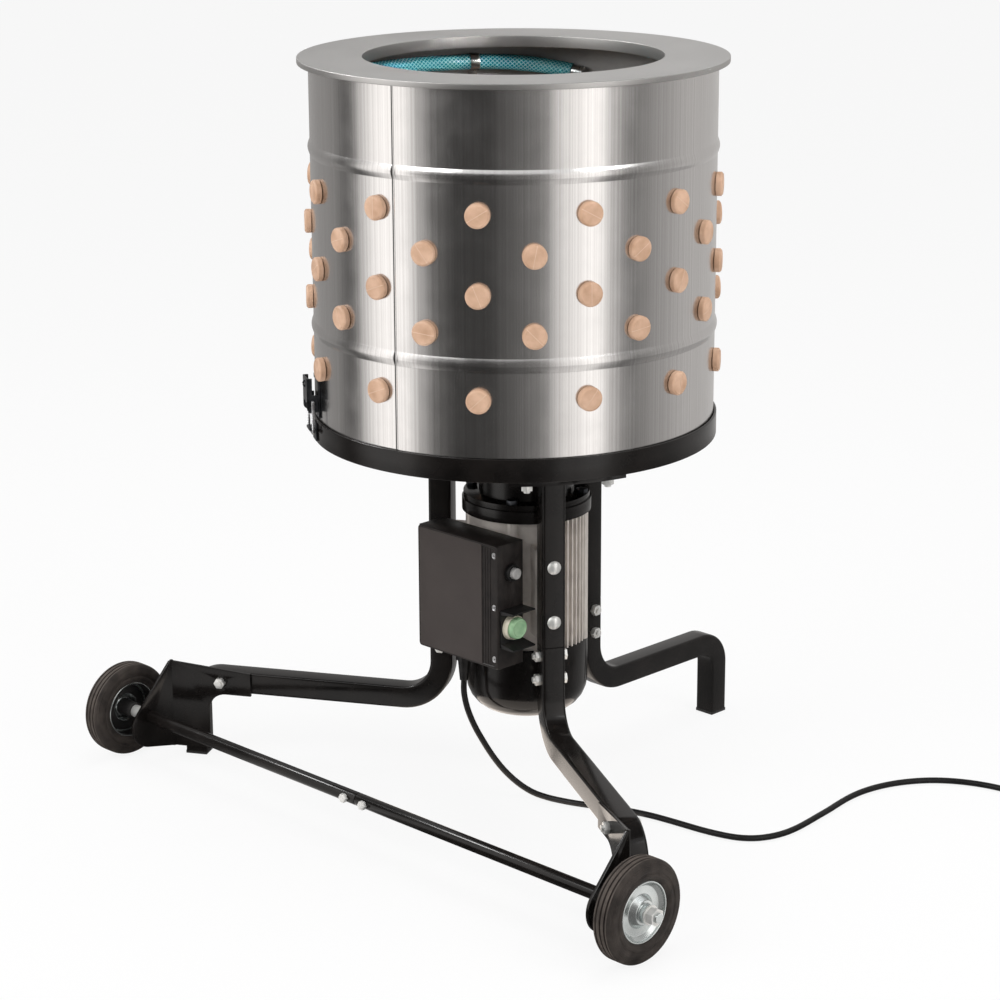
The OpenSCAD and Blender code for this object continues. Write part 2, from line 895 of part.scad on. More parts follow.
module gearbox_housing() {
    box_top = spider_z - gear_floor;
    color(black) difference() {
        at_motor() translate([0, 0, gear_floor]) {
            cylinder(r = gearbox_r, h = box_top);
            cylinder(r = bell_r - 2, h = gear_flange_t);
        }
        at_motor() translate([0, 0, gear_floor - over])
            cylinder(r = cavity_r, h = cavity_top - gear_floor + over);
        at_idler() translate([0, 0, cavity_top - over])
            cylinder(d = idler_bearing[1], h = idler_bearing[2] + over);
        at_drum() {
            translate([0, 0, cavity_top - over])
                cylinder(d = output_bearing[1] - 8, h = spider_z - cavity_top);
            translate([0, 0, output_low_z])
                cylinder(d = output_bearing[1], h = spider_z - output_low_z - 8);
            translate([0, 0, spider_z - seal_h])
                cylinder(d = output_bearing[1] - 4, h = seal_h + over);
        }
        each_bell_bolt() translate([0, 0, gear_floor - over])
            cylinder(d = bolt_hole, h = gear_flange_t + 2 * over);
        at_motor() for (turn = spider_bolt_turns)
            face(turn) translate([spider_bolt_r, 0, spider_z - spider_bolt_depth - over])
                cylinder(d = bolt_hole, h = spider_bolt_depth + 2 * over);
    }
}

bell_r = motor_r + 4;
gear_flange_t = 8;
bell_bolt_r = bell_r - 10;
bell_bolt_turns = [0, 90, 180, 270];
bell_bolt_depth = 18;

module each_bell_bolt() {
    at_motor() for (turn = bell_bolt_turns)
        face(turn + leg_side) translate([bell_bolt_r, 0, 0])
            children();
}

module end_bell() {
    color(black) difference() {
        at_motor() translate([0, 0, bell_z])
            cylinder(r = bell_r, h = bell_t);
        at_motor() {
            translate([0, 0, rotor_high_z])
                cylinder(d = rotor_bearing[1], h = rotor_bearing[2]);
            translate([0, 0, bell_z - over])
                cylinder(d = rotor_bearing[1] - 8, h = bell_t + 2 * over);
        }
        at_idler() translate([0, 0, idler_low_z])
            cylinder(d = idler_bearing[1], h = idler_bearing[2] + over);
        each_bell_bolt() translate([0, 0, bell_z - over])
            cylinder(d = bolt_hole, h = bell_t + 2 * over);
    }
}

module gearbox_bolts() {
    color(zinc) each_bell_bolt() {
        translate([0, 0, bell_z - bell_bolt_depth])
            cylinder(d = bolt_d, h = bell_bolt_depth + bell_t + gear_flange_t);
        translate([0, 0, gear_floor + gear_flange_t])
            hex_prism(hex_h);
    }
}

fin_t = 2.6;
fin_step = 6;
first_fin = 80;
last_fin = 164;
core_r = motor_r - fin_h;
post_face = post_r - leg_w / 2;
pad_low = 26;
pad_h = 118;
boss_d = 16;
front_pad_w = 70;
shield_t = 6;

// Finned body with a pad for each post, a flat pad for the control box and the lower bearing seat
module motor_body() {
    pad_root = core_r - 4;
    color(alloy) difference() {
        union() {
            difference() {
                at_motor() translate([0, 0, motor_z]) {
                    linear_extrude(motor_h) {
                        circle(r = core_r);
                        for (turn = [first_fin : fin_step : last_fin])
                            for (side = [-1, 1])
                                face(side * turn)
                                    translate([body_bore_r + 1, -fin_t / 2])
                                        square([motor_r - body_bore_r - 1, fin_t]);
                        each_bell_boss() circle(d = boss_d);
                    }
                    for (angle = leg_angles)
                        face(angle) translate([pad_root, -leg_w / 2, pad_low])
                            cube([post_face - pad_root, leg_w, pad_h]);
                    translate([-front_pad_w / 2, -motor_r - 1, pad_low])
                        cube([front_pad_w, motor_r + 1 - core_r * 0.7, pad_h]);
                }
                at_motor() translate([0, 0, motor_z + shield_t])
                    cylinder(r = body_bore_r, h = motor_h);
            }
            at_motor() translate([0, 0, motor_z + over])
                cylinder(d = rotor_bearing[1] + 8, h = rotor_low_z + rotor_bearing[2] - motor_z - over);
        }
        at_motor() {
            translate([0, 0, rotor_low_z])
                cylinder(d = rotor_bearing[1], h = rotor_bearing[2] + over);
            translate([0, 0, motor_z - over])
                cylinder(d = rotor_bearing[1] - 8, h = rotor_low_z - motor_z + 2 * over);
        }
        each_bell_bolt() translate([0, 0, bell_z - bell_bolt_depth - over])
            cylinder(d = bolt_hole, h = bell_bolt_depth + 2 * over);
        each_post_bolt() translate([0, 0, -post_bolt_depth - over])
            cylinder(d = bolt_hole, h = post_bolt_depth + 2 * over);
    }
}

module each_bell_boss() {
    for (turn = bell_bolt_turns)
        face(turn + leg_side) translate([bell_bolt_r, 0, 0])
            children();
}

cowl_t = 1.5;
cowl_bend_r = 42;
cowl_vents = 12;
vent_r = 3;

function cowl_line(radius, low, curve) = concat(
    [for (i = [0 : 6]) [
        radius - curve + curve * sin(15 * i),
        low + curve - curve * cos(15 * i)
    ]],
    [[radius, cowl_h]]
);

// Bowl round the fan, open at the top and vented at the bottom
module fan_cowl() {
    inner = cowl_line(motor_r - cowl_t, cowl_t, cowl_bend_r - cowl_t);
    color(black) at_motor() translate([0, 0, motor_z - cowl_h]) difference() {
        rotate_extrude()
            polygon(concat([[0, 0]], cowl_line(motor_r, 0, cowl_bend_r), reversed(inner), [[0, cowl_t]]));
        for (i = [0 : cowl_vents - 1])
            face(i * 360 / cowl_vents) translate([(motor_r - cowl_bend_r) * 0.7, 0, -over])
                cylinder(r = vent_r, h = cowl_t + 2 * over);
    }
}

// Controls on the motor's front

box_back = motor_y - motor_r - 1;
box_front = box_back - box_d;
box_mid_y = (box_back + box_front) / 2;
box_side = box_w / 2;
start_rise = 53.5;
reset_rise = 125.5;
start_z = box_z + start_rise;
reset_z = box_z + reset_rise;
stem_d = 12;
reset_stem_d = 8;
gland_x = -14;
gland_hole_d = 16;

module control_box() {
    color(dark) difference() {
        translate([-box_side, box_front, box_z])
            cube([box_w, box_d, box_h]);
        translate([-box_side + box_wall, box_front - over, box_z + box_wall])
            cube([box_w - 2 * box_wall, box_d - box_wall + over, box_h - 2 * box_wall]);
        translate([box_side - box_wall - over, box_mid_y, start_z])
            along_x() cylinder(d = stem_d + 2 * loose, h = box_wall + 2 * over);
        translate([box_side - box_wall - over, box_mid_y, reset_z])
            along_x() cylinder(d = reset_stem_d + 2 * loose, h = box_wall + 2 * over);
        translate([gland_x, box_mid_y, box_z - over])
            cylinder(d = gland_hole_d + 2 * seat, h = box_wall + 2 * over);
    }
    color(dark) each_lid_screw() translate([0, box_front, 0])
        along_y() screw_boss();
}

lid_inset = 6;
screw_d = 4;
screw_head_d = 8;
screw_len = 10;
boss_len = 14;

module screw_boss() {
    difference() {
        translate([-lid_inset, -lid_inset, 0]) cube([2 * lid_inset, 2 * lid_inset, boss_len]);
        translate([0, 0, -over]) cylinder(d = screw_d + 2 * seat, h = screw_len + over);
    }
}

module each_lid_screw() {
    for (side = [-1, 1])
        for (level = [0.08, 0.5, 0.92])
            translate([side * (box_side - lid_inset), 0, box_z + level * box_h])
                children();
}

module control_lid() {
    color(dark) difference() {
        translate([-box_side, box_front - lid_t, box_z])
            cube([box_w, lid_t, box_h]);
        each_lid_screw() translate([0, box_front - lid_t - over, 0])
            along_y() cylinder(d = screw_head_d + 2 * seat, h = lid_t + 2 * over);
    }
}

module lid_screws() {
    color(zinc) each_lid_screw() translate([0, box_front - lid_t, 0]) along_y() {
        cylinder(d = screw_head_d, h = lid_t);
        cylinder(d = screw_d, h = lid_t + screw_len - over);
    }
}

guard_t = 2;
bezel_wall = 3;
bezel_d = start_d + 2 * bezel_wall;
bezel_h = 9;
cap_gap = start_travel + 1;
cap_h = 11;
reset_cap_h = 8;

// Cap on a stem that passes the box's wall
module start_button() {
    color(mint) translate([box_side, box_mid_y, start_z]) along_x() {
        translate([0, 0, cap_gap]) cylinder(d = start_d, h = cap_h);
        translate([0, 0, -box_wall - start_travel])
            cylinder(d = stem_d, h = box_wall + start_travel + cap_gap + 1);
    }
}

module start_bezel() {
    color(cream) translate([box_side, box_mid_y, start_z]) along_x() difference() {
        cylinder(d = bezel_d, h = bezel_h);
        translate([0, 0, -over])
            cylinder(d = start_d + 2 * loose, h = bezel_h + 2 * over);
    }
}

module reset_button() {
    color(grey) translate([box_side, box_mid_y, reset_z]) along_x() {
        translate([0, 0, reset_travel + 1]) cylinder(d = reset_d, h = reset_cap_h);
        translate([0, 0, -box_wall - reset_travel])
            cylinder(d = reset_stem_d, h = box_wall + 2 * reset_travel + 2);
    }
}

collar_h = 6;

module reset_collar() {
    color(black) translate([box_side, box_mid_y, reset_z]) along_x() difference() {
        cylinder(d = reset_d + 8, h = collar_h);
        translate([0, 0, -over])
            cylinder(d = reset_d + 2 * loose, h = collar_h + 2 * over);
    }
}

// Plate round the start button with a fin above and a fin below it
module switch_guard() {
    guard_w = bezel_d + 6;
    fin_base_t = 6;
    guard_h = bezel_d + 2 * fin_base_t + 4;
    color(black) translate([box_side, box_mid_y, start_z]) difference() {
        union() {
            translate([0, -guard_w / 2, -guard_h / 2]) cube([guard_t, guard_w, guard_h]);
            for (side = [0, 1]) mirror([0, 0, side])
                translate([0, guard_w / 2, guard_h / 2]) rotate([90, 0, 0])
                    linear_extrude(guard_w)
                        polygon([[0, 0], [0, -fin_base_t], [guard_out, -2], [guard_out, 0]]);
        }
        translate([-over, 0, 0])
            along_x() cylinder(d = bezel_d + 2 * seat, h = guard_t + 2 * over);
    }
}

gland_r = 11;
gland_nut_h = 12;
relief_len = 28;
gland_tip_z = box_z - gland_nut_h - relief_len;

// Nut under the box, thread through its wall and a tapered strain relief
module cord_gland() {
    color(black) translate([gland_x, box_mid_y, 0]) {
        translate([0, 0, box_z])
            cylinder(d = gland_hole_d, h = box_wall + 5);
        translate([0, 0, box_z - gland_nut_h])
            cylinder(r = gland_r, h = gland_nut_h, $fn = 6);
        translate([0, 0, gland_tip_z])
            cylinder(d1 = cord_d + 3, d2 = gland_hole_d, h = relief_len);
    }
}

// Power cord: points chosen along the floor, swept by a round section

cord_r = cord_d / 2;
cord_sides = 10;
cord_route = [
    [gland_x, box_mid_y, gland_tip_z], [-14, -115, 150], [-11, -112, 128], [-5, -106, 105],
    [3, -98, 83], [11, -88, 61], [20, -76, 40], [32, -63, 22], [48, -52, 10], [67, -43, 5],
    [88, -36, 4], [108, -29, 4], [130, -19, 4], [153, -8, 4], [178, 1, 4], [204, 8, 4],
    [230, 12, 4], [256, 15, 4], [282, 18, 4], [307, 23, 4], [330, 31, 4], [347, 44, 4],
    [358, 62, 4], [364, 84, 4], [365, 108, 4], [363, 133, 4], [360, 158, 4], [357, 184, 4],
    [353, 210, 4], [350, 236, 4], [350, 262, 4], [354, 288, 4], [362, 313, 4], [374, 336, 4],
    [390, 357, 4], [410, 374, 4], [433, 387, 4], [458, 396, 4], [484, 401, 4], [508, 403, 4],
    [530, 403, 4]
];

function unit(v) = v / norm(v);
function heading(path, i) =
    i == 0 ? unit(path[1] - path[0]) :
    i == len(path) - 1 ? unit(path[i] - path[i - 1]) :
    unit(unit(path[i] - path[i - 1]) + unit(path[i + 1] - path[i]));
function carried(side, ahead) = unit(side - (side * ahead) * ahead);
function sides_along(path, i, side) =
    i == len(path) ? [] :
    let (now = carried(side, heading(path, i)))
    concat([now], sides_along(path, i + 1, now));
function ring_at(middle, ahead, side, radius, count) =
    let (up = cross(ahead, side))
    [for (k = [0 : count - 1])
        middle + radius * (cos(360 * k / count) * side + sin(360 * k / count) * up)];
function lay_quad(a, b, c, d) = [[a, b, c], [a, c, d]];
function joined(lists) = [for (list = lists) for (item = list) item];
function tube_faces(rings, count) = concat(
    [for (k = [1 : count - 2]) [0, k, k + 1]],
    joined([for (i = [0 : rings - 2]) for (k = [0 : count - 1])
        lay_quad(
            i * count + k, (i + 1) * count + k,
            (i + 1) * count + (k + 1) % count, i * count + (k + 1) % count
        )]),
    [for (k = [1 : count - 2]) [(rings - 1) * count, (rings - 1) * count + k + 1, (rings - 1) * count + k]]
);

// Round section carried along a path without twisting
module swept_tube(path, radius, count, first_side) {
    sides = sides_along(path, 0, first_side);
    points = joined([for (i = [0 : len(path) - 1])
        ring_at(path[i], heading(path, i), sides[i], radius, count)]);
    polyhedron(points, tube_faces(len(path), count));
}

module power_cord() {
    color(rubber) swept_tube(cord_route, cord_r, cord_sides, [1, 0, 0]);
}

// Coil of the rest of the cord: it spirals in on the floor, climbs and spirals out again

coil_turns = 3.5;
coil_r = 55;
coil_pitch = cord_d + 1.4;
coil_layer = cord_d + 0.6;
loop_rings = 24;
coil_sides = 6;
tail_len = 40;
coil_start = cord_route[len(cord_route) - 1];
coil_middle = coil_start + [0, coil_r, 0];

function smooth(t) = t <= 0 ? 0 : t >= 1 ? 1 : t * t * (3 - 2 * t);
function coil_radius(turn) = coil_r - coil_pitch * (coil_turns / 2 - abs(turn - coil_turns / 2));
function coil_height(turn) = coil_layer * smooth((turn - coil_turns / 2 + 0.25) / 0.5);
function coil_point(turn) = coil_middle + [
    coil_radius(turn) * sin(360 * turn),
    -coil_radius(turn) * cos(360 * turn),
    coil_height(turn)
];
coil_loops = [for (i = [0 : coil_turns * loop_rings]) coil_point(i / loop_rings)];
coil_end = coil_loops[len(coil_loops) - 1];
coil_path = concat(
    [coil_start, coil_start + [cord_d / 3, 0, 0]],
    [for (i = [2 : len(coil_loops) - 1]) coil_loops[i]],
    [for (i = [1 : 4]) coil_end - [tail_len * i / 4, 0, 0]]
);
// Least clear distance between points of the coil that lie half a loop or more apart along it
coil_gap = min([
    for (i = [0 : len(coil_path) - 1])
        for (j = [i + loop_rings / 2 : 1 : len(coil_path) - 1])
            norm(coil_path[j] - coil_path[i])
]) - cord_d;
echo(coil_gap = coil_gap);

module cord_coil() {
    color(rubber) swept_tube(coil_path, cord_r, coil_sides, [0, 1, 0]);
}

plug_relief = 26;
plug_body = 34;
plug_r = cord_r + coil_layer - 0.2;
blade = [19, 1.6, 6.4];
blade_step = 12.7;
earth_d = 4.8;
earth_len = 22;

// Moulded plug with two flat blades and a round earth pin, at the coil's tail
module power_plug() {
    tail = coil_path[len(coil_path) - 1];
    color(rubber) translate(tail) rotate([0, -90, 0]) {
        cylinder(d1 = cord_d + 2, d2 = plug_r * 1.3, h = plug_relief);
        translate([0, 0, plug_relief]) cylinder(r = plug_r, h = plug_body);
        for (side = [-1, 1])
            translate([2, side * blade_step / 2, plug_relief + plug_body])
                translate([-blade[2] / 2, -blade[1] / 2, 0])
                    cube([blade[2], blade[1], blade[0]]);
        translate([-6, 0, plug_relief + plug_body])
            cylinder(d = earth_d, h = earth_len);
    }
}

// Stand

cross_bolt_drops = [14, 46];
carriage_rises = [34, 107];
post_bolt_depth = 12;
tenon_w = leg_w - 2 * leg_wall - 2 * seat;
tenon_low = leg_z + bend_r + 6;
tenon_high = joint_z + 20;

module tube_section() {
    difference() {
        square(leg_w, center = true);
        square(leg_w - 2 * leg_wall, center = true);
    }
}

module tube_run(length) {
    linear_extrude(length) tube_section();
}

// Quarter bend in the XZ plane about the origin, from one angle to the next
module tube_bend(radius, from) {
    rotate([90, 0, 0]) rotate([0, 0, from])
        rotate_extrude(angle = 90)
            translate([radius, 0]) tube_section();
}

// Repeats a shape at each carriage bolt, +Z outwards and 0 at the post's inner face
module each_post_bolt() {
    at_motor() for (angle = leg_angles)
        face(angle) for (rise = carriage_rises)
            translate([post_face, 0, joint_z + rise])
                along_x() children();
}

// Post with the tenon that is welded into its foot
module upper_post() {
    difference() {
        translate([post_r, 0, joint_z]) tube_run(spider_z - joint_z);
        for (rise = carriage_rises)
            translate([post_face - over, 0, joint_z + rise])
                along_x() cylinder(d = bolt_hole, h = leg_w + 2 * over);
    }
    difference() {
        translate([post_r, 0, tenon_low]) linear_extrude(tenon_high - tenon_low) difference() {
            square(tenon_w, center = true);
            square(tenon_w - 2 * leg_wall, center = true);
        }
        cross_holes();
    }
    translate([post_r, 0, joint_z + leg_wall]) linear_extrude(leg_wall) difference() {
        square(leg_w - leg_wall, center = true);
        square(tenon_w - 2 * leg_wall, center = true);
    }
}

module cross_holes() {
    for (drop = cross_bolt_drops)
        translate([post_r, -leg_w, joint_z - drop])
            along_y() cylinder(d = bolt_hole, h = 2 * leg_w);
}

module upper_posts() {
    color(black) at_motor() for (angle = leg_angles)
        face(angle) upper_post();
}

module leg_foot_of_post() {
    translate([post_r, 0, leg_z + bend_r]) tube_run(joint_z - leg_z - bend_r);
    translate([post_r + bend_r, 0, leg_z + bend_r]) tube_bend(bend_r, 180);
}

// Leg that bends down to a foot at a distance from the motor's axis
module bent_leg(reach) {
    run_end = reach - foot_bend_r;
    difference() {
        union() {
            leg_foot_of_post();
            translate([post_r + bend_r, 0, leg_z])
                along_x() tube_run(run_end - post_r - bend_r);
            translate([run_end, 0, leg_z - foot_bend_r]) tube_bend(foot_bend_r, 0);
            translate([reach, 0, pad_t]) tube_run(leg_z - foot_bend_r - pad_t);
        }
        cross_holes();
    }
}

module front_legs() {
    color(black) at_motor() for (angle = [leg_angles[0], leg_angles[1]])
        face(angle) difference() {
            bent_leg(front_reach);
            translate([bracket_bolt_s, -leg_w, leg_z])
                along_y() cylinder(d = bolt_hole, h = 2 * leg_w);
        }
}

module rear_leg() {
    color(black) at_motor() face(leg_angles[2]) bent_leg(rear_reach);
}

module post_bolts() {
    color(zinc) each_post_bolt() {
        translate([0, 0, -post_bolt_depth])
            cylinder(d = bolt_d, h = leg_w + post_bolt_depth);
        translate([0, 0, leg_w]) dome_head();
    }
}

// Cross bolts through the tenons, and one bolt through each wheel bracket, heads on the right
module leg_bolts() {
    color(zinc) at_motor() {
        for (angle = leg_angles) face(angle)
            for (drop = cross_bolt_drops)
                translate([post_r, -leg_w / 2, joint_z - drop])
                    side_bolt(angle, leg_w);
        for (angle = [leg_angles[0], leg_angles[1]]) face(angle)
            translate([bracket_bolt_s, -leg_w / 2 - (angle > 0 ? bracket_t : 0), leg_z])
                side_bolt(angle, leg_w + bracket_t);
    }
}

// Bolt across a leg, turned so that the two front legs mirror each other
module side_bolt(angle, grip) {
    if (angle < 0)
        along_y() hex_bolt(grip);
    else
        translate([0, grip, 0]) rotate([180, 0, 0]) along_y() hex_bolt(grip);
}

// Wheels and axle

bolt_back = 55;
fold_out = 16;
cheek_len = 98;
cheek_over = 2;
lobe_len = 38;
cheek_round = 24;
flange_r = 30;
flange_drop = 13;
front_reach = front_leg_len - leg_w / 2;
bracket_bolt_s = front_leg_len - bolt_back;
fold_s = front_leg_len + fold_out;
fold_t = leg_w / 2 + bracket_t / 2;
fold_x = fold_s * cos(leg_side) - fold_t * sin(leg_side);
fold_y = motor_y - fold_s * sin(leg_side) - fold_t * cos(leg_side);
bracket_low = 12;
bracket_high = leg_z + 25;
lobe_s = front_leg_len - lobe_len;
arm_low = leg_z - leg_w / 2 - cheek_over;
fold_swell = 0.8;

function arc_points(x, y, radius, from, to, steps) = [for (i = [0 : steps])
    let (turn = from + (to - from) * i / steps)
    [x + radius * cos(turn), y + radius * sin(turn)]];

// Folded plate of the right wheel: a cheek along the leg, its lobe rounded into its arm, and a flange
module wheel_bracket() {
    at_motor() face(leg_angles[1]) translate([0, -fold_t, 0]) rotate([90, 0, 0])
        linear_extrude(bracket_t, center = true) difference() {
            polygon(concat(
                [[front_leg_len - cheek_len, arm_low], [front_leg_len - cheek_len, leg_z + leg_w / 2]],
                [[fold_s, bracket_high], [fold_s, bracket_low], [lobe_s, bracket_low]],
                arc_points(lobe_s - cheek_round, arm_low - cheek_round, cheek_round, 0, 90, 8)
            ));
            translate([bracket_bolt_s, leg_z]) circle(d = bolt_hole);
        }
    translate([fold_x, fold_y, bracket_low - fold_swell])
        cylinder(d = bracket_t + fold_swell, h = bracket_high - bracket_low + 2 * fold_swell);
    edge_y = fold_y - bracket_t;
    lobe_z = axle_z - flange_drop;
    high = [edge_y - axle_y, bracket_high - seat - lobe_z];
    low = [edge_y - axle_y, bracket_low + seat - lobe_z];
    high_turn = atan2(high[1], high[0]) + acos(flange_r / norm(high));
    low_turn = 360 + atan2(low[1], low[0]) - acos(flange_r / norm(low));
    difference() {
        translate([fold_x - bracket_t / 2, 0, 0]) rotate([90, 0, 90]) linear_extrude(bracket_t)
            polygon(concat(
                [[edge_y, bracket_low + seat], [fold_y, bracket_low + seat]],
                [[fold_y, bracket_high - seat], [edge_y, bracket_high - seat]],
                arc_points(axle_y, lobe_z, flange_r, high_turn, low_turn, 16)
            ));
        translate([fold_x - bracket_t, axle_y, axle_z])
            along_x() cylinder(d = axle_d + 2 * seat, h = 2 * bracket_t);
    }
}

module both_sides() {
    children();
    mirror([1, 0, 0]) children();
}

module wheel_brackets() {
    color(black) both_sides() wheel_bracket();
}

module at_axle() {
    translate([0, axle_y, axle_z])
        children();
}

hub_len = tyre_w + 8;
washer_t = 2;
axle_nut_af = 19;
axle_nut_h = 10;
spacer_start = fold_x + bracket_t / 2;
track = 2 * (spacer_start + spacer_len + loose) + hub_len;
hub_out = track / 2 + hub_len / 2;
nut_seat = hub_out + loose + washer_t;
axle_half = nut_seat + axle_nut_h + tip_out;
joint_bolt_x = 17.5;
joint_bolt_d = 6;
joint_hole = joint_bolt_d + 2 * seat;
joint_head_h = 5;
joint_depth = axle_d / 4;

module axle_shaft() {
    color(zinc) at_axle() difference() {
        bar_x(axle_d, 2 * axle_half);
        for (side = [-1, 1]) translate([side * joint_bolt_x, -sleeve_d, 0])
            along_y() cylinder(d = joint_hole, h = sleeve_d + joint_depth + seat);
    }
}

// Two tubes over the axle, from the middle to the brackets
module axle_sleeves() {
    sleeve_len = fold_x - bracket_t / 2 - 0.5;
    color(black) both_sides() at_axle() difference() {
        translate([0.5, 0, 0]) along_x() difference() {
            cylinder(d = sleeve_d, h = sleeve_len);
            translate([0, 0, -over]) cylinder(d = axle_d + 2 * seat, h = sleeve_len + 2 * over);
        }
        translate([joint_bolt_x, -sleeve_d, 0])
            along_y() cylinder(d = joint_hole, h = sleeve_d);
    }
}

// Screws that pin the sleeves, spacers inside the wheels, washers and nuts outside them
module axle_fasteners() {
    color(zinc) both_sides() at_axle() {
        translate([joint_bolt_x, -sleeve_d / 2, 0]) along_y() {
            cylinder(d = joint_bolt_d, h = sleeve_d / 2 + joint_depth);
            translate([0, 0, -joint_head_h])
                cylinder(r = joint_bolt_d, h = joint_head_h, $fn = 6);
        }
        translate([spacer_start, 0, 0]) along_x()
            axle_ring(sleeve_d, spacer_len);
        translate([nut_seat - washer_t, 0, 0]) along_x()
            axle_ring(hub_d + 2, washer_t);
        translate([nut_seat, 0, 0]) along_x() difference() {
            cylinder(d = axle_nut_af / cos(30), h = axle_nut_h, $fn = 6);
            translate([0, 0, -over]) cylinder(d = axle_d + 2 * seat, h = axle_nut_h + 2 * over);
        }
    }
}

module axle_ring(diameter, length) {
    difference() {
        cylinder(d = diameter, h = length);
        translate([0, 0, -over]) cylinder(d = axle_d + 2 * seat, h = length + 2 * over);
    }
}

groove_w = 2.5;
groove_t = 1.5;
shoulder_r = 6;

// Tyre profile: radius against width
module tyre() {
    half = tyre_w / 2;
    inner = disc_d / 2 + seat;
    groove_at = tyre_w / 5;
    rotate_extrude() difference() {
        polygon(concat(
            [[inner, -half + 3], [inner + 5, -half]],
            [[wheel_r - shoulder_r, -half]],
            [for (i = [1 : 5]) [
                wheel_r - shoulder_r + shoulder_r * sin(18 * i),
                -half + shoulder_r - shoulder_r * cos(18 * i)
            ]],
            [for (i = [5 : -1 : 1]) [
                wheel_r - shoulder_r + shoulder_r * sin(18 * i),
                half - shoulder_r + shoulder_r * cos(18 * i)
            ]],
            [[wheel_r - shoulder_r, half]],
            [[inner + 5, half], [inner, half - 3]]
        ));
        for (side = [-1, 1])
            translate([wheel_r - groove_t, side * groove_at - groove_w / 2])
                square([groove_t + over, groove_w]);
    }
}

disc_t = 2.5;
disc_dish = 7;
disc_rim_w = 24;

// Rim, hub and dished disc of a wheel, the disc towards +Z
module wheel_disc() {
    high = disc_rim_w / 2;
    low = high - disc_dish;
    bore_r = axle_d / 2 + fit;
    hub_outer = hub_d / 2;
    rim_outer = disc_d / 2;
    rim_inner = rim_outer - disc_t;
    flat_r = (hub_outer + rim_outer) / 2;
    rotate_extrude()
        polygon([
            [bore_r, -hub_len / 2], [hub_outer, -hub_len / 2], [hub_outer, high - disc_t],
            [hub_outer + 3, high - disc_t], [flat_r - 5, low - disc_t], [flat_r + 7, low - disc_t],
            [rim_inner, high - 2 * disc_t], [rim_inner, -high], [rim_outer, -high],
            [rim_outer, high], [rim_inner, high], [rim_inner, high - disc_t],
            [flat_r + 6, low], [flat_r - 4, low], [hub_outer + 4, high],
            [hub_outer, high], [hub_outer, hub_len / 2], [bore_r, hub_len / 2]
        ]);
}

module at_wheel(side) {
    at_axle() translate([side * track / 2, 0, 0])
        along_x() children();
}

module left_tyre() {
    color(rubber) at_wheel(-1) tyre();
}

module right_tyre() {
    color(rubber) at_wheel(1) tyre();
}

module left_wheel() {
    color(zinc) at_wheel(-1) mirror([0, 0, 1]) wheel_disc();
}

module right_wheel() {
    color(zinc) at_wheel(1) wheel_disc();
}

// Pad under each foot, with a plug in the tube
module foot_pads() {
    plug_w = leg_w - 2 * leg_wall - 2 * seat;
    color(rubber) at_motor() for (angle = leg_angles)
        face(angle) translate([angle == leg_angles[2] ? rear_reach : front_reach, 0, 0]) {
            translate([-leg_w / 2, -leg_w / 2, 0]) cube([leg_w, leg_w, pad_t]);
            translate([-plug_w / 2, -plug_w / 2, pad_t]) cube([plug_w, plug_w, 16]);
        }
}

drum_shell();
drum_rim();
drum_fingers();
irrigation_hose();
hose_clips();
hose_fittings();
latch_bases();
latch_pins();
latch_catches();
latch_lever(latch_turns[0]);  // front_latch_lever
latch_lever(latch_turns[1]);  // rear_latch_lever
latch_bail(latch_turns[0]);  // front_latch_bail
latch_bail(latch_turns[1]);  // rear_latch_bail
base_ring();
base_spider();
ring_bolts();
feather_plate();
plate_fingers();
plate_bolt();
output_shaft();
output_gear();
idler_shaft();
motor_shaft();
rotor_core();
cooling_fan();
ball_bearings();
shaft_seal();
stator();
gearbox_housing();
end_bell();
gearbox_bolts();
motor_body();
fan_cowl();
control_box();
control_lid();
lid_screws();
start_button();
start_bezel();
reset_button();
reset_collar();
switch_guard();
cord_gland();
power_cord();
cord_coil();
power_plug();
upper_posts();
front_legs();
rear_leg();
post_bolts();
leg_bolts();
wheel_brackets();
axle_shaft();
axle_sleeves();
axle_fasteners();
left_tyre();
right_tyre();
left_wheel();
right_wheel();
foot_pads();
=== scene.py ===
import math
import random

import bmesh
import bpy
from mathutils import Matrix, Vector

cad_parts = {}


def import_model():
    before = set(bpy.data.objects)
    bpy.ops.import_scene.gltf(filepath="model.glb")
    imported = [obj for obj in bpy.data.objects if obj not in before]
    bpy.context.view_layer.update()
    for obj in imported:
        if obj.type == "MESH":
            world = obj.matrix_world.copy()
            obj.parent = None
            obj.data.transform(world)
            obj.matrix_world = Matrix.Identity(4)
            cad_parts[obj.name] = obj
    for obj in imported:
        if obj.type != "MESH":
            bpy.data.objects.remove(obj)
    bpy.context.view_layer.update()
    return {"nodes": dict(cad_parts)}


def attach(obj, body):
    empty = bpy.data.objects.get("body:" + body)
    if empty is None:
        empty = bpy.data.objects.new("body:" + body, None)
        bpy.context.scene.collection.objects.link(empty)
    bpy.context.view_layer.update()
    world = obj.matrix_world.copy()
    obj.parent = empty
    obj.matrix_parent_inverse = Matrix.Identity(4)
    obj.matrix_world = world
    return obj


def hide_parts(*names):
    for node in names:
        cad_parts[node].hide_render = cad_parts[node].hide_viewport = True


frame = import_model()
nodes = frame["nodes"]

# Lengths below are in millimetres, as in the CAD source, and are scaled on the way into Blender
MM = 0.001
MOTOR_Y = -12.25
DRUM_Y = -34.25
AXLE_Y = -315.25
AXLE_Z = 63.5
WHEEL_X = 471.5
DRUM_R = 254.0
SHELL_Z = 496.0
RIM_Z = 969.0
BASE_Z = 493.0
JOINT_Z = 232.0
POST_TOP = 487.0
LEG_ANGLES = (-60, 60, 180)
CAMERA_TURN = 44.57


# Placing and shaping

def move(x, y, z):
    return Matrix.Translation((x, y, z))


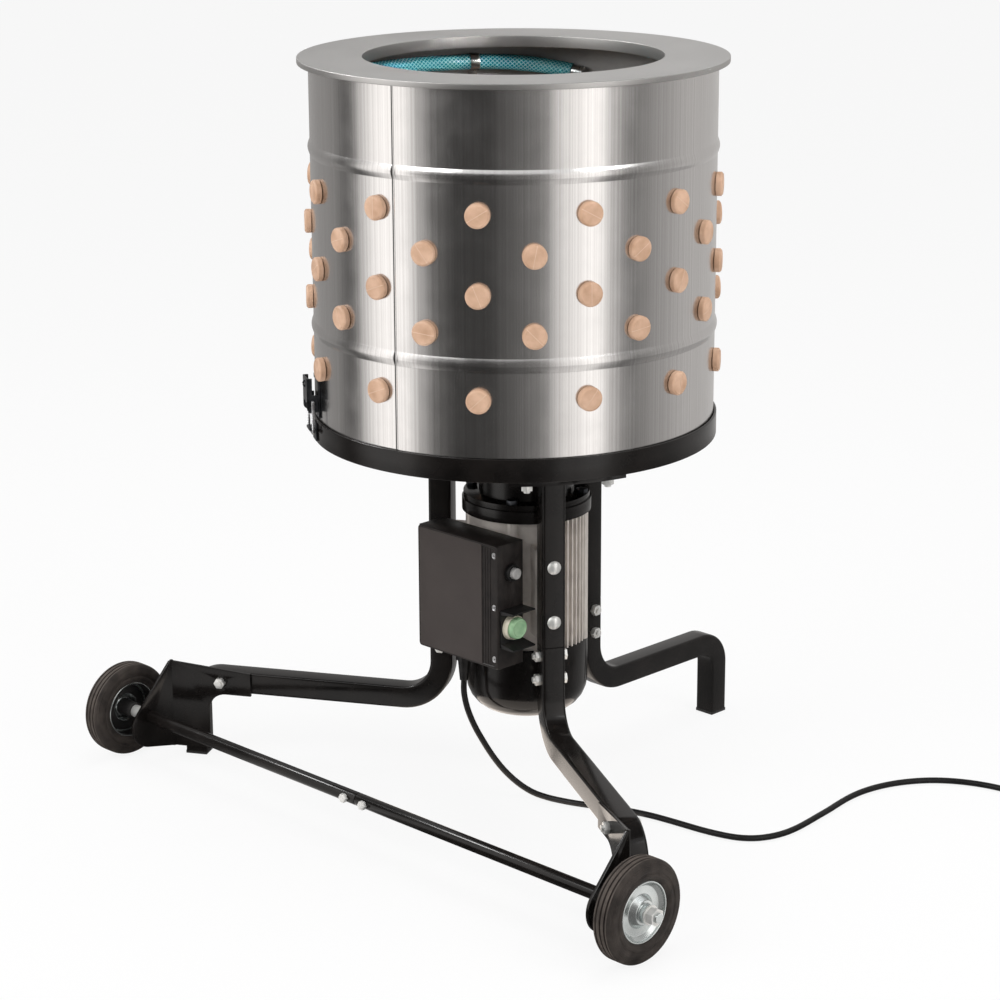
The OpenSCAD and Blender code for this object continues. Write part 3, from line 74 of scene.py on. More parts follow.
def turn(degrees, axis="Z"):
    return Matrix.Rotation(math.radians(degrees), 4, axis)


def face(angle):
    """Turns +X to a direction given from the front towards the right wheel."""
    return turn(angle - 90)


AT_DRUM = move(0, DRUM_Y, 0)
AT_MOTOR = move(0, MOTOR_Y, 0)
ALONG_X = turn(90, "Y")
ALONG_Y = turn(-90, "X")
UPSIDE_DOWN = Matrix.Diagonal((1, 1, -1, 1))
NEARLY_STRAIGHT = 3.1
LONGEST_CUT = 0.48


def rounded(points, radius, steps=4, closed=True):
    """The outline with each corner cut back and bent round."""
    pts = [Vector(p) for p in points]
    out = []
    for i, p in enumerate(pts):
        if not closed and i in (0, len(pts) - 1):
            out.append(p)
            continue
        before, after = pts[i - 1] - p, pts[(i + 1) % len(pts)] - p
        bend = before.angle(after)
        cut = radius / math.tan(bend / 2) if bend < NEARLY_STRAIGHT else 0
        cut = min(cut, LONGEST_CUT * before.length, LONGEST_CUT * after.length)
        if cut < 1e-4:
            out.append(p)
            continue
        a, b = p + before.normalized() * cut, p + after.normalized() * cut
        for k in range(steps + 1):
            t = k / steps
            out.append(a * (1 - t) ** 2 + p * 2 * t * (1 - t) + b * t ** 2)
    return [tuple(p) for p in out]


def oblong(low, high):
    """Corners of a flat rectangle."""
    return [low, (high[0], low[1]), high, (low[0], high[1])]


def lathe(profile, segs=48, closed=True):
    """Points and faces of a profile of (radius, height) turned about Z."""
    verts, rings = [], []
    for r, z in profile:
        if r < 1e-6:
            rings.append([len(verts)] * segs)
            verts.append((0, 0, z))
        else:
            rings.append(list(range(len(verts), len(verts) + segs)))
            for i in range(segs):
                a = 2 * math.pi * i / segs
                verts.append((r * math.cos(a), r * math.sin(a), z))
    faces = []
    ends = rings[1:] + rings[:1] if closed else rings[1:]
    for low, high in zip(rings, ends):
        for i in range(segs):
            j = (i + 1) % segs
            corners = list(dict.fromkeys((low[i], low[j], high[j], high[i])))
            if len(corners) > 2:
                faces.append(corners)
    return verts, faces


def rod(radius, start, end, segs):
    """Points and faces of a plain round bar along Z."""
    return lathe([(0, start), (radius, start), (radius, end), (0, end)], segs, False)


def sweep(path, loop, side, scales=None):
    """Points and faces of a flat loop carried along a path, with closed ends."""
    path = [Vector(p) for p in path]
    side = Vector(side)
    verts, faces, n = [], [], len(loop)
    for i, p in enumerate(path):
        ahead = (path[min(i + 1, len(path) - 1)] - path[max(i - 1, 0)]).normalized()
        side = (side - ahead * side.dot(ahead)).normalized()
        up = ahead.cross(side)
        k = scales[i] if scales else 1
        verts += [p + side * a * k + up * b * k for a, b in loop]
    for i in range(len(path) - 1):
        for j in range(n):
            k = (j + 1) % n
            faces.append([i * n + j, i * n + k, (i + 1) * n + k, (i + 1) * n + j])
    faces.append(list(range(n)))
    faces.append([(len(path) - 1) * n + j for j in range(n)])
    return verts, faces


def block(lo, hi):
    """Points and faces of a box."""
    verts = [(x, y, z) for z in (lo[2], hi[2]) for y in (lo[1], hi[1]) for x in (lo[0], hi[0])]
    return verts, [[0, 1, 3, 2], [4, 5, 7, 6], [0, 1, 5, 4], [2, 3, 7, 6], [0, 2, 6, 4], [1, 3, 7, 5]]


def arc(centre, radius, start, end, steps=12):
    """Points of an arc in the XZ plane."""
    out = []
    for k in range(steps + 1):
        a = math.radians(start + (end - start) * k / steps)
        out.append((centre[0] + radius * math.cos(a), 0, centre[1] + radius * math.sin(a)))
    return out


def circle(radius, count=16):
    angles = [2 * math.pi * i / count for i in range(count)]
    return [(radius * math.cos(a), radius * math.sin(a)) for a in angles]


class Shape:
    """Collects points and faces in millimetres and makes one piece of them."""

    def __init__(self):
        self.verts, self.faces = [], []

    def add(self, form, place=Matrix()):
        start = len(self.verts)
        self.verts += [place @ Vector(v) for v in form[0]]
        self.faces += [[start + i for i in f] for f in form[1]]
        return self

    def make(self, name, material, body="stand", stands_for=(), slot=None, angle=38, bevel=0):
        mesh = bpy.data.meshes.new(name)
        bm = bmesh.new()
        points = [bm.verts.new(v * MM) for v in self.verts]
        for f in self.faces:
            bm.faces.new([points[i] for i in f])
        bmesh.ops.remove_doubles(bm, verts=bm.verts, dist=1e-7)
        bmesh.ops.recalc_face_normals(bm, faces=bm.faces)
        bm.to_mesh(mesh)
        bm.free()
        mesh.shade_smooth()
        mesh.set_sharp_from_angle(angle=math.radians(angle))
        piece = bpy.data.objects.new(name, mesh)
        bpy.context.scene.collection.objects.link(piece)
        mesh.materials.append(material)
        if bevel:
            soften(piece, bevel)
        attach(piece, body)
        if stands_for:
            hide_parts(*stands_for)
        return piece


def soften(piece, width):
    """Rounds a piece's sharp edges by a width in millimetres."""
    m = piece.modifiers.new("soft_edges", "BEVEL")
    m.width = width * MM
    m.segments = 3
    m.limit_method = "ANGLE"
    m.angle_limit = math.radians(40)
    m.use_clamp_overlap = True


def dress(node, material, bevel=0):
    """Gives a CAD node its material, smooth faces and rounded edges."""
    piece = nodes[node]
    mesh = piece.data
    if mesh.has_custom_normals:
        mesh.attributes.remove(mesh.attributes["custom_normal"])
    mesh.shade_smooth()
    mesh.materials.clear()
    mesh.materials.append(material)
    weld = piece.modifiers.new("joined", "WELD")
    weld.merge_threshold = 2e-6
    if bevel:
        soften(piece, bevel)
    split = piece.modifiers.new("sharp", "EDGE_SPLIT")
    split.split_angle = math.radians(38)
    split.use_edge_sharp = False


# Materials

def shader(name, colour, rough, metal, sockets=None):
    material = bpy.data.materials.new(name)
    material.use_nodes = True
    tree = material.node_tree
    bsdf = tree.nodes["Principled BSDF"]
    bsdf.inputs["Base Color"].default_value = (*colour, 1)
    bsdf.inputs["Roughness"].default_value = rough
    bsdf.inputs["Metallic"].default_value = metal
    for key, value in (sockets or {}).items():
        bsdf.inputs[key].default_value = value
    return material, tree, bsdf


def node(tree, kind, inputs=None, **props):
    made = tree.nodes.new(kind)
    for key, value in props.items():
        setattr(made, key, value)
    for key, value in (inputs or {}).items():
        if isinstance(value, bpy.types.NodeSocket):
            tree.links.new(value, made.inputs[key])
        else:
            made.inputs[key].default_value = value
    return made


def maths(tree, operation, a, b=0.0, c=0.0):
    return node(tree, "ShaderNodeMath", {0: a, 1: b, 2: c}, operation=operation).outputs[0]


def mixed(tree, factor, a, b):
    """Colour a where factor is 0 and b where it is 1."""
    made = node(tree, "ShaderNodeMix", {0: factor, 6: (*a, 1), 7: (*b, 1)}, data_type="RGBA")
    return made.outputs[2]


def spread(tree, value, low, high, to_low, to_high):
    return node(tree, "ShaderNodeMapRange", {0: value, 1: low, 2: high, 3: to_low, 4: to_high}).outputs[0]


def grain(tree, scale, detail):
    """Noise in the object's own coordinates; scale counts features per metre."""
    place = node(tree, "ShaderNodeTexCoord").outputs["Object"]
    return node(tree, "ShaderNodeTexNoise", {"Vector": place, "Scale": scale, "Detail": detail}).outputs[0]


def bumped(tree, bsdf, height, depth, strength=1.0):
    """Raises the surface by a height of up to depth millimetres."""
    made = node(tree, "ShaderNodeBump", {"Strength": strength, "Distance": depth * MM, "Height": height})
    tree.links.new(made.outputs[0], bsdf.inputs["Normal"])


def surface(name, dark, light, rough, metal, patch, pit, depth, sockets=None):
    """Material whose colour and gloss drift over patches, with a fine raised grain.

    Patches and pits are counted per metre, and the grain's depth is in millimetres.
    """
    material, tree, bsdf = shader(name, light, rough[0], metal, sockets)
    drift = spread(tree, grain(tree, patch, 4), 0.3, 0.7, 0, 1)
    tree.links.new(mixed(tree, drift, dark, light), bsdf.inputs["Base Color"])
    tree.links.new(spread(tree, drift, 0, 1, *rough), bsdf.inputs["Roughness"])
    bumped(tree, bsdf, grain(tree, pit, 2), depth)
    return material


def around_drum(tree):
    """Angle about the drum's axis, in radians."""
    xyz = node(tree, "ShaderNodeSeparateXYZ", {0: node(tree, "ShaderNodeTexCoord").outputs["Object"]})
    return maths(tree, "ARCTAN2", xyz.outputs[0], maths(tree, "ADD", xyz.outputs[1], -DRUM_Y * MM))


def ripple(tree, angle, scale, detail):
    """Noise that changes round the drum but not up it."""
    inputs = {"W": angle, "Scale": scale, "Detail": detail}
    return node(tree, "ShaderNodeTexNoise", inputs, noise_dimensions="1D").outputs[0]


def drum_steel():
    """Polished sheet with faint upright ripples from rolling, and upright streaks of painted reflection in
    its colour.
    """
    material, tree, bsdf = shader("drum_steel", (0.62, 0.61, 0.6), 0.2, 1.0)
    angle = around_drum(tree)
    broad, fine = ripple(tree, angle, 7.0, 2.0), ripple(tree, angle, 90.0, 3.0)
    # The fine ripple also tints the colour lighter and darker in upright streaks, as painted reflection
    painted_reflection_streak = spread(tree, fine, 0.35, 0.65, 0, 1)
    tree.links.new(mixed(tree, painted_reflection_streak, (0.585, 0.57, 0.56), (0.645, 0.635, 0.625)), bsdf.inputs["Base Color"])
    tree.links.new(spread(tree, grain(tree, 30, 4), 0.3, 0.7, 0.16, 0.24), bsdf.inputs["Roughness"])
    bumped(tree, bsdf, maths(tree, "MULTIPLY_ADD", fine, 0.02, broad), 1.0, 0.22)
    return material


THREADS_ROUND, THREADS_ALONG = 12.0, 220.0


def hose_braid():
    """Clear teal hose over crossing threads; the threads follow the mesh's UVs."""
    clear = {"Coat Weight": 0.6, "Coat Roughness": 0.08}
    material, tree, bsdf = shader("hose_braid", (0.02, 0.3, 0.34), 0.22, 0.0, clear)
    uv = node(tree, "ShaderNodeSeparateXYZ", {0: node(tree, "ShaderNodeTexCoord").outputs["UV"]})
    lines = []
    for way in (1, -1):
        along = maths(tree, "MULTIPLY", uv.outputs[0], THREADS_ALONG)
        slant = maths(tree, "MULTIPLY_ADD", uv.outputs[1], THREADS_ROUND * way, along)
        wave = maths(tree, "SINE", maths(tree, "MULTIPLY", slant, 2 * math.pi))
        lines.append(spread(tree, wave, 0.45, 0.95, 0, 1))
    thread = maths(tree, "MAXIMUM", *lines)
    tree.links.new(mixed(tree, thread, (0.008, 0.22, 0.27), (0.25, 0.58, 0.6)), bsdf.inputs["Base Color"])
    bumped(tree, bsdf, thread, 0.25)
    return material


PAINT = {"Specular IOR Level": 0.26}
CLEAR_COAT = {"Coat Weight": 0.4}
M = {
    "steel": drum_steel(),
    "inside": surface(
        "steel_inside", (0.34, 0.333, 0.325), (0.42, 0.413, 0.405), (0.42, 0.52), 1.0, 25, 900, 0.02),
    "satin": surface(
        "satin_steel", (0.42, 0.412, 0.402), (0.45, 0.442, 0.432), (0.38, 0.43), 1.0, 12, 1200, 0.02),
    "finger": surface(
        "finger_rubber", (0.56, 0.33, 0.205), (0.77, 0.505, 0.35), (0.5, 0.66), 0, 55, 450, 0.12),
    "mould": surface(
        "finger_mould_line", (0.72, 0.5, 0.36), (0.82, 0.6, 0.45), (0.55, 0.7), 0, 120, 500, 0.05),
    "hose": hose_braid(),
    "zinc": surface("zinc_plate", (0.6, 0.64, 0.64), (0.74, 0.77, 0.76), (0.2, 0.3), 1.0, 35, 900, 0.01),
    "bolt": surface("bolt_plate", (0.7, 0.7, 0.68), (0.84, 0.83, 0.8), (0.3, 0.42), 0.55, 160, 900, 0.03),
    "paint": surface(
        "black_paint", (0.005, 0.0043, 0.004), (0.013, 0.0108, 0.0098), (0.12, 0.2), 0, 22, 330, 0.03, PAINT),
    "dark": surface(
        "black_oxide", (0.03, 0.032, 0.036), (0.085, 0.09, 0.1), (0.28, 0.4), 0.9, 90, 600, 0.04),
    "machined": surface(
        "machined_steel", (0.42, 0.42, 0.43), (0.55, 0.55, 0.56), (0.25, 0.4), 1.0, 120, 900, 0.02),
    "winding": surface("windings", (0.3, 0.14, 0.06), (0.45, 0.24, 0.12), (0.4, 0.55), 0.6, 300, 900, 0.1),
    "alloy": surface(
        "cast_alloy", (0.58, 0.53, 0.49), (0.72, 0.67, 0.62), (0.42, 0.58), 0.3, 60, 350, 0.12),
    "box": surface(
        "box_paint", (0.012, 0.0095, 0.009), (0.026, 0.021, 0.019), (0.42, 0.55), 0, 70, 420, 0.12, PAINT),
    "panel": surface(
        "panel_film", (0.054, 0.044, 0.041), (0.064, 0.053, 0.049), (0.55, 0.65), 0, 30, 700, 0.03, PAINT),
    "mint": surface(
        "mint_plastic", (0.25, 0.45, 0.25), (0.35, 0.55, 0.32), (0.16, 0.26), 0, 120, 500, 0.03, CLEAR_COAT),
    "cream": surface(
        "cream_plastic", (0.62, 0.57, 0.44), (0.76, 0.71, 0.58), (0.35, 0.5), 0, 120, 600, 0.04),
    "grey": surface("grey_plastic", (0.3, 0.29, 0.28), (0.42, 0.41, 0.4), (0.35, 0.5), 0, 150, 600, 0.04),
    "plastic": surface(
        "black_plastic", (0.006, 0.006, 0.006), (0.016, 0.015, 0.015), (0.32, 0.45), 0, 90, 500, 0.06, PAINT),
    "cord": surface(
        "cord_sheath", (0.005, 0.005, 0.005), (0.012, 0.011, 0.011), (0.35, 0.48), 0, 60, 700, 0.05, PAINT),
    "tyre": surface(
        "tyre_rubber", (0.018, 0.014, 0.012), (0.062, 0.05, 0.043), (0.6, 0.78), 0, 45, 380, 0.25, PAINT),
    "tread": surface(
        "tyre_tread", (0.05, 0.04, 0.034), (0.11, 0.09, 0.077), (0.65, 0.8), 0, 70, 380, 0.25, PAINT),
    # Black rubber of the seal and foot pads, also laid on the wheel discs' inner sides as painted shade
    "pad": surface(
        "black_rubber", (0.012, 0.011, 0.011), (0.028, 0.026, 0.025), (0.6, 0.75), 0, 70, 450, 0.15),
    "brass": surface("plug_blades", (0.6, 0.48, 0.25), (0.72, 0.6, 0.35), (0.22, 0.35), 1.0, 150, 700, 0.02),
}


# Camera, in metres and degrees

CAMERA_AT = (2.4385, -2.5099, 1.4176)
CAMERA_YAW, CAMERA_PITCH, CAMERA_ROLL = -0.31, 16.37, -0.25
CAMERA_LENS, CAMERA_SENSOR = 100.8, 36


def aim_camera():
    angles = (CAMERA_TURN, CAMERA_YAW, CAMERA_PITCH, CAMERA_ROLL)
    turned, yaw, pitch, roll = (math.radians(a) for a in angles)
    right = Vector((math.cos(turned), math.sin(turned), 0))
    away = Vector((-math.sin(turned), math.cos(turned), 0))
    level = right * math.sin(yaw) + away * math.cos(yaw)
    ahead = level * math.cos(pitch) - Vector((0, 0, math.sin(pitch)))
    side = right * math.cos(yaw) - away * math.sin(yaw)
    up = side.cross(ahead)
    side, up = side * math.cos(roll) + up * math.sin(roll), up * math.cos(roll) - side * math.sin(roll)
    camera = bpy.data.objects.new("camera", bpy.data.cameras.new("camera"))
    camera.data.lens = CAMERA_LENS
    camera.data.sensor_width = CAMERA_SENSOR
    camera.data.clip_end = 50
    pose = Matrix((side, up, -ahead)).transposed().to_4x4()
    pose.translation = CAMERA_AT
    camera.matrix_world = pose
    bpy.context.scene.collection.objects.link(camera)
    bpy.context.scene.camera = camera


aim_camera()


# Power cord

CORD_R = 4.0
CORD_ROUTE = [
    (-14, -114.75, 168), (-14, -115, 150), (-11, -112, 128), (-5, -106, 105), (3, -98, 83), (11, -88, 61),
    (20, -76, 40), (32, -63, 22), (48, -52, 10), (67, -43, 5), (88, -36, 4), (108, -29, 4), (130, -19, 4),
    (153, -8, 4), (178, 1, 4), (204, 8, 4), (230, 12, 4), (256, 15, 4), (282, 18, 4), (307, 23, 4),
    (330, 31, 4), (347, 44, 4), (358, 62, 4), (364, 84, 4), (365, 108, 4), (363, 133, 4), (360, 158, 4),
    (357, 184, 4), (353, 210, 4), (350, 236, 4), (350, 262, 4), (354, 288, 4), (362, 313, 4),
    (374, 336, 4), (390, 357, 4), (410, 374, 4), (433, 387, 4), (458, 396, 4), (484, 401, 4),
    (508, 403, 4), (530, 403, 4),
]
COIL_TURNS, COIL_R, COIL_PITCH, COIL_LAYER = 3.5, 55.0, 9.4, 8.6
COIL_MIDDLE = Vector((530, 458, 4))
LOOP_POINTS = 24
TAIL_LEN = 40


def coil_point(t):
    """Point of the coil after t turns: inwards, up a layer and outwards again."""
    half = COIL_TURNS / 2
    radius = COIL_R - COIL_PITCH * (half - abs(t - half))
    rise = min(max((t - half + 0.25) / 0.5, 0), 1)
    height = COIL_LAYER * rise * rise * (3 - 2 * rise)
    angle = 2 * math.pi * t
    return COIL_MIDDLE + Vector((radius * math.sin(angle), -radius * math.cos(angle), height))


def between(points, parts):
    """Points of a smooth curve through the given ones."""
    out = []
    for i in range(len(points) - 1):
        p0, p1, p2, p3 = (points[min(max(i + k, 0), len(points) - 1)] for k in (-1, 0, 1, 2))
        for k in range(parts):
            t = k / parts
            squared = (2 * p0 - 5 * p1 + 4 * p2 - p3) * t * t
            cubed = (3 * p1 - p0 - 3 * p2 + p3) * t ** 3
            out.append(0.5 * (2 * p1 + (p2 - p0) * t + squared + cubed))
    return out + [points[-1]]


def lay_cord():
    coil = [coil_point(i / LOOP_POINTS) for i in range(1, int(COIL_TURNS * LOOP_POINTS) + 1)]
    tail = [coil[-1] - Vector((TAIL_LEN * i / 4, 0, 0)) for i in range(1, 5)]
    path = between([Vector(p) for p in CORD_ROUTE] + coil + tail, 3)
    curve = bpy.data.curves.new("cord", "CURVE")
    curve.dimensions = "3D"
    curve.bevel_depth = CORD_R * MM
    curve.bevel_resolution = 4
    curve.use_fill_caps = True
    spline = curve.splines.new("POLY")
    spline.points.add(len(path) - 1)
    for point, p in zip(spline.points, path):
        point.co = (*(p * MM), 1)
    curve.materials.append(M["cord"])
    cord = bpy.data.objects.new("cord", curve)
    bpy.context.scene.collection.objects.link(cord)
    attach(cord, "stand")
    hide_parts("power_cord", "cord_coil")
    plug, blades = make_plug(path[-1])
    tie = tie_coil()


RELIEF_RIBS, RELIEF_STEP = 6, 4.0
PLUG_R, PLUG_LEN = 12.4, 60.0
BLADE_OFF, EARTH_OFF = 6.35, 6.0


def make_plug(tail):
    """Moulded plug with a ribbed relief and side grips, and its two blades and earth pin."""
    place = move(*tail) @ turn(-90, "Y")
    relief = [(0, 0)]
    for i in range(RELIEF_RIBS):
        z = 1.5 + i * RELIEF_STEP
        r = 5.2 + i * 0.5
        relief += [(r, z - 1.5), (r, z + 1), (r - 0.9, z + 1.4), (r - 0.9, z + 2.2)]
    body = [(8.2, 25), (PLUG_R, 30), (PLUG_R, PLUG_LEN - 4), (11, PLUG_LEN), (0, PLUG_LEN)]
    outline = rounded(relief, 0.4, 2, False)[:-1] + rounded(body, 2.5, 4, False)
    plug = Shape().add(lathe(outline, 40, False), place)
    grip = rounded(oblong((-1.1, -4), (1.1, 4)), 0.8)
    for side in (-1, 1):
        path = [(-3, side * (PLUG_R - 0.5), z) for z in (40, 52)]
        plug.add(sweep(path, grip, (0, 1, 0)), place)
    plug = plug.make("plug", M["cord"], stands_for=("power_plug",), slot="cord")
    blades = Shape()
    blade = rounded(oblong((-3.2, -0.8), (3.2, 0.8)), 0.3, 2)
    for side in (-1, 1):
        path = [(2, side * BLADE_OFF, z) for z in (PLUG_LEN - 1, PLUG_LEN + 17.5, PLUG_LEN + 19)]
        blades.add(sweep(path, blade, (1, 0, 0), (1, 1, 0.75)), place)
    start, end = PLUG_LEN - 1, PLUG_LEN + 22
    earth = [(0, start), (2.4, start), (2.4, end - 2), (1.4, end), (0, end)]
    blades.add(lathe(earth, 20, False), place @ move(-EARTH_OFF, 0, 0))
    return plug, blades.make("plug_blades", M["brass"], slot="zinc")


TIE_INNER, TIE_OUTER, TIE_TOP, TIE_W = 32.6, 60.2, 17.4, 6.0
TIE_T, TIE_SOLE = 0.9, 0.6
TIE_AT = 20


def tie_coil():
    """Flat strap round the coil's bundle of turns, with its buckle on top."""
    ring = rounded(oblong((TIE_INNER, 0), (TIE_OUTER, TIE_TOP)), 5, 5)
    hole = rounded(oblong((TIE_INNER + TIE_T, TIE_SOLE), (TIE_OUTER - TIE_T, TIE_TOP - TIE_T)), 4.2, 5)
    verts, faces, n = [], [], len(ring)
    for y in (-TIE_W / 2, TIE_W / 2):
        verts += [(x, y, z) for x, z in ring] + [(x, y, z) for x, z in hole]
    for i in range(n):
        j = (i + 1) % n
        faces += [[i, j, 2 * n + j, 2 * n + i], [n + i, n + j, 3 * n + j, 3 * n + i]]
        faces += [[i, j, n + j, n + i], [2 * n + i, 2 * n + j, 3 * n + j, 3 * n + i]]
    place = move(COIL_MIDDLE.x, COIL_MIDDLE.y, 0) @ turn(TIE_AT)
    tie = Shape().add((verts, faces), place)
    tie.add(block((42, -4.2, TIE_TOP - 0.4), (51, 4.2, TIE_TOP + 2.6)), place)
    return tie.make("cord_tie", M["plastic"], slot="black_plastic", bevel=0.5)


lay_cord()


# Drum

SHELL_H = RIM_Z - SHELL_Z
WALL = 1.0
SEAM_AT = 11.0
LAP_FROM, LAP_DEPTH, LAP_PROUD, LAP_FADE = 359.35, 0.35, 0.4, 20.0
BEADS = (140.0, 365.0)
BEAD_H, BEAD_SLOPE, BEAD_CREST = 18.0, 0.5, 5.0
# At the seam the beads are pressed in by this share, over about this many degrees
PINCH, PINCH_W = 0.45, 0.7


def bulge(height, offset):
    """How far the beads stand out at a height above the shell's foot, offset degrees from the seam."""
    out = 0
    for middle in BEADS:
        rise = math.hypot(BEAD_H / 2, BEAD_CREST) - math.hypot(height - middle, BEAD_CREST)
        out += max(BEAD_SLOPE * rise, 0)
    near = min(offset, 360 - offset)
    return out * (1 - PINCH * math.exp(-((near / PINCH_W) ** 2)))


def lap(offset):
    """Step of the lap seam, offset degrees from it."""
    return -LAP_DEPTH if offset > LAP_FROM else max(0, LAP_PROUD * (1 - offset / LAP_FADE))


def drum_shell():
    """Sheet rolled to a drum, its lap seam standing a little proud at one edge."""
    heights = [0, 1.2, 30, 70, 110, 180, 230, 280, 330, 400, 440, SHELL_H - 1, SHELL_H]
    for middle in BEADS:
        heights += [middle + BEAD_H / 2 * i / 12 for i in range(-13, 14)]
    heights = sorted(set(heights))
    after_seam = [0, 0.12, 0.24, 0.5, 1, 1.8, 2.7]
    before_seam = [359.1, 359.3, 359.4, 359.7, 359.9]
    offsets = sorted(set(after_seam + [4 + i * 1.5 for i in range(236)] + before_seam))
    cols, rows = len(offsets), len(heights)
    verts, faces = [], []
    for skin in (0, 1):
        for h in heights:
            for o in offsets:
                a = math.radians(SEAM_AT + o)
                r = DRUM_R - WALL * skin + bulge(h, o) + (0 if skin else lap(o))
                verts.append((r * math.sin(a), -r * math.cos(a), SHELL_Z + h))
    size = cols * rows
    for skin in (0, 1):
        for i in range(rows - 1):
            for j in range(cols):
                k = (j + 1) % cols
                a = skin * size + i * cols
                faces.append([a + j, a + k, a + cols + k, a + cols + j])
    for row in (0, rows - 1):
        for j in range(cols):
            k = (j + 1) % cols
            a = row * cols
            faces.append([a + j, a + k, size + a + k, size + a + j])
    sheet = Shape().add((verts, faces), AT_DRUM).make(
        "drum_sheet", M["steel"], stands_for=("drum_shell",), slot="stainless", angle=75)
    sheet.data.materials.append(M["inside"])
    middle = Vector((0, DRUM_Y * MM))
    for polygon in sheet.data.polygons:
        if (polygon.center.xy - middle).dot(polygon.normal.xy) < 0:
            polygon.material_index = 1


MOUTH_R, RIM_R, RIM_T = 187.0, 268.0, 2.0
COLLAR_DROP, LIP_DROP = 13.0, 5.0


def drum_rim():
    """Flat ring with a collar down round the mouth and a short lip at its edge."""
    collar, lip = -COLLAR_DROP, -LIP_DROP
    outline = [(MOUTH_R, collar), (MOUTH_R, RIM_T), (RIM_R, RIM_T), (RIM_R, lip)]
    outline += [(RIM_R - RIM_T, lip), (RIM_R - RIM_T, 0), (MOUTH_R + RIM_T, 0), (MOUTH_R + RIM_T, collar)]
    Shape().add(lathe(rounded(outline, 0.9, 4), 192), AT_DRUM @ move(0, 0, RIM_Z)).make(
        "rim_ring", M["satin"], stands_for=("drum_rim",), slot="stainless_satin")


FINGER_SEGS = 28
FINGER_ROWS = ((97, 5), (176, 20), (224, 5), (272, 20), (320, 5))
FINGERS_ROUND = 12
PLATE_Z, PLATE_T = 510.0, 3.0
PLATE_FINGER_R = 203.0
PLATE_ROWS = ((12, PLATE_FINGER_R, 0), (6, PLATE_FINGER_R * 0.55, 30))
DRUM_FINGER_LEN, PLATE_FINGER_LEN = 85.0, 61.0
RIB_PITCH, NECK_R, TIP_R = 5.0, 9.0, 7.2


def finger(sheet, length):
    """Ribbed rubber finger along -Z from the sheet's face at 0, with a mould line over its head."""
    neck = sheet + 0.1
    head = [(0, 8.5), (12.6, 8.5), (15, 6.6), (15, 0.6), (14.4, 0.1), (NECK_R, 0.1)]
    body = [(NECK_R, -neck), (11.5, -neck), (11.5, -neck - 6), (NECK_R, -neck - 8)]
    start, end = -neck - 8, -length + 5
    ribs = []
    count = int((start - end) / RIB_PITCH)
    for i in range(1, count):
        z = start + (end - start) * i / count
        r = NECK_R + (TIP_R - NECK_R) * i / count
        ribs += [(r, z + 1.4), (r + 0.9, z + 0.6), (r + 0.9, z - 0.6), (r, z - 1.4)]
    tip = [(6.9, end), (5.8, -length + 1.2), (3.2, -length), (0, -length)]
    profile = rounded(head, 1.6, 3, False) + rounded(body, 0.8, 2, False)
    profile += ribs + rounded(tip, 1.5, 3, False)
    verts, faces = lathe(profile, FINGER_SEGS, False)
    half = [(12, 0, 8.5), (13.4, 0, 8.1), (14.3, 0, 7.2)]
    over = [(-x, y, z) for x, y, z in reversed(half)] + half
    return (verts, faces), sweep(over, [(-0.5, -0.3), (0.5, -0.3), (0.3, 0.2), (-0.3, 0.2)], (0, 1, 0))


def finger_set(name, form, places, body, stands_for):
    fingers, lines = Shape(), Shape()
    for place in places:
        fingers.add(form[0], place)
        lines.add(form[1], place)
    fingers.make(name + "_set", M["finger"], body=body, stands_for=(stands_for,), slot="finger_rubber")
    lines.make(name + "_mould_lines", M["mould"], body=body, slot="finger_rubber")


def drum_fingers():
    rng = random.Random(5)
    places = []
    for height, first in FINGER_ROWS:
        for i in range(FINGERS_ROUND):
            outwards = AT_DRUM @ face(first + 360 / FINGERS_ROUND * i) @ move(DRUM_R, 0, SHELL_Z + height)
            places.append(outwards @ ALONG_X @ turn(rng.uniform(0, 180)))
    finger_set("drum_finger", finger(WALL + 0.26, DRUM_FINGER_LEN), places, "stand", "drum_fingers")
    places = []
    for count, radius, first in PLATE_ROWS:
        for i in range(count):
            lying = AT_DRUM @ face(first + 360 / count * i) @ move(radius, 0, PLATE_Z) @ UPSIDE_DOWN
            places.append(lying @ turn(rng.uniform(0, 180)))
    finger_set("plate_finger", finger(PLATE_T + 0.1, PLATE_FINGER_LEN), places, "plate", "plate_fingers")


HOSE_R, HOSE_Z, HOSE_D = 242.2, 931.0, 21.0
HOSE_START, HOSE_SWEEP = 206.0, 314.0
HOSE_SAG, CLIP_AT = 12.0, 237.0
HOSE_STEPS, HOSE_SIDES = 220, 24
INLET_AT = 164


def hose_point(angle):
    """Point of the hose's middle; before the first clip it droops towards its end."""
    a = math.radians(angle)
    loose = max(0, (CLIP_AT - angle) / (CLIP_AT - HOSE_START))
    return Vector((HOSE_R * math.sin(a), DRUM_Y - HOSE_R * math.cos(a), HOSE_Z - HOSE_SAG * loose ** 2))


def irrigation_hose():
    path = [hose_point(HOSE_START + HOSE_SWEEP * i / HOSE_STEPS) for i in range(HOSE_STEPS + 1)]
    outside = circle(HOSE_D / 2, HOSE_SIDES)
    hose = Shape().add(sweep(path, outside, (0, 0, 1))).make(
        "hose", M["hose"], stands_for=("irrigation_hose",), slot="hose")
    layer = hose.data.uv_layers.new(name="braid")
    for loop in hose.data.loops:
        ring, k = divmod(loop.vertex_index, HOSE_SIDES)
        layer.data[loop.index].uv = (ring / HOSE_STEPS, k / HOSE_SIDES)
    for polygon in hose.data.polygons:
        wraps = {k: layer.data[k].uv[1] for k in polygon.loop_indices}
        if len(wraps) == 4 and max(wraps.values()) - min(wraps.values()) > 0.5:
            for k, v in wraps.items():
                if v < 0.5:
                    layer.data[k].uv = (layer.data[k].uv[0], v + 1)


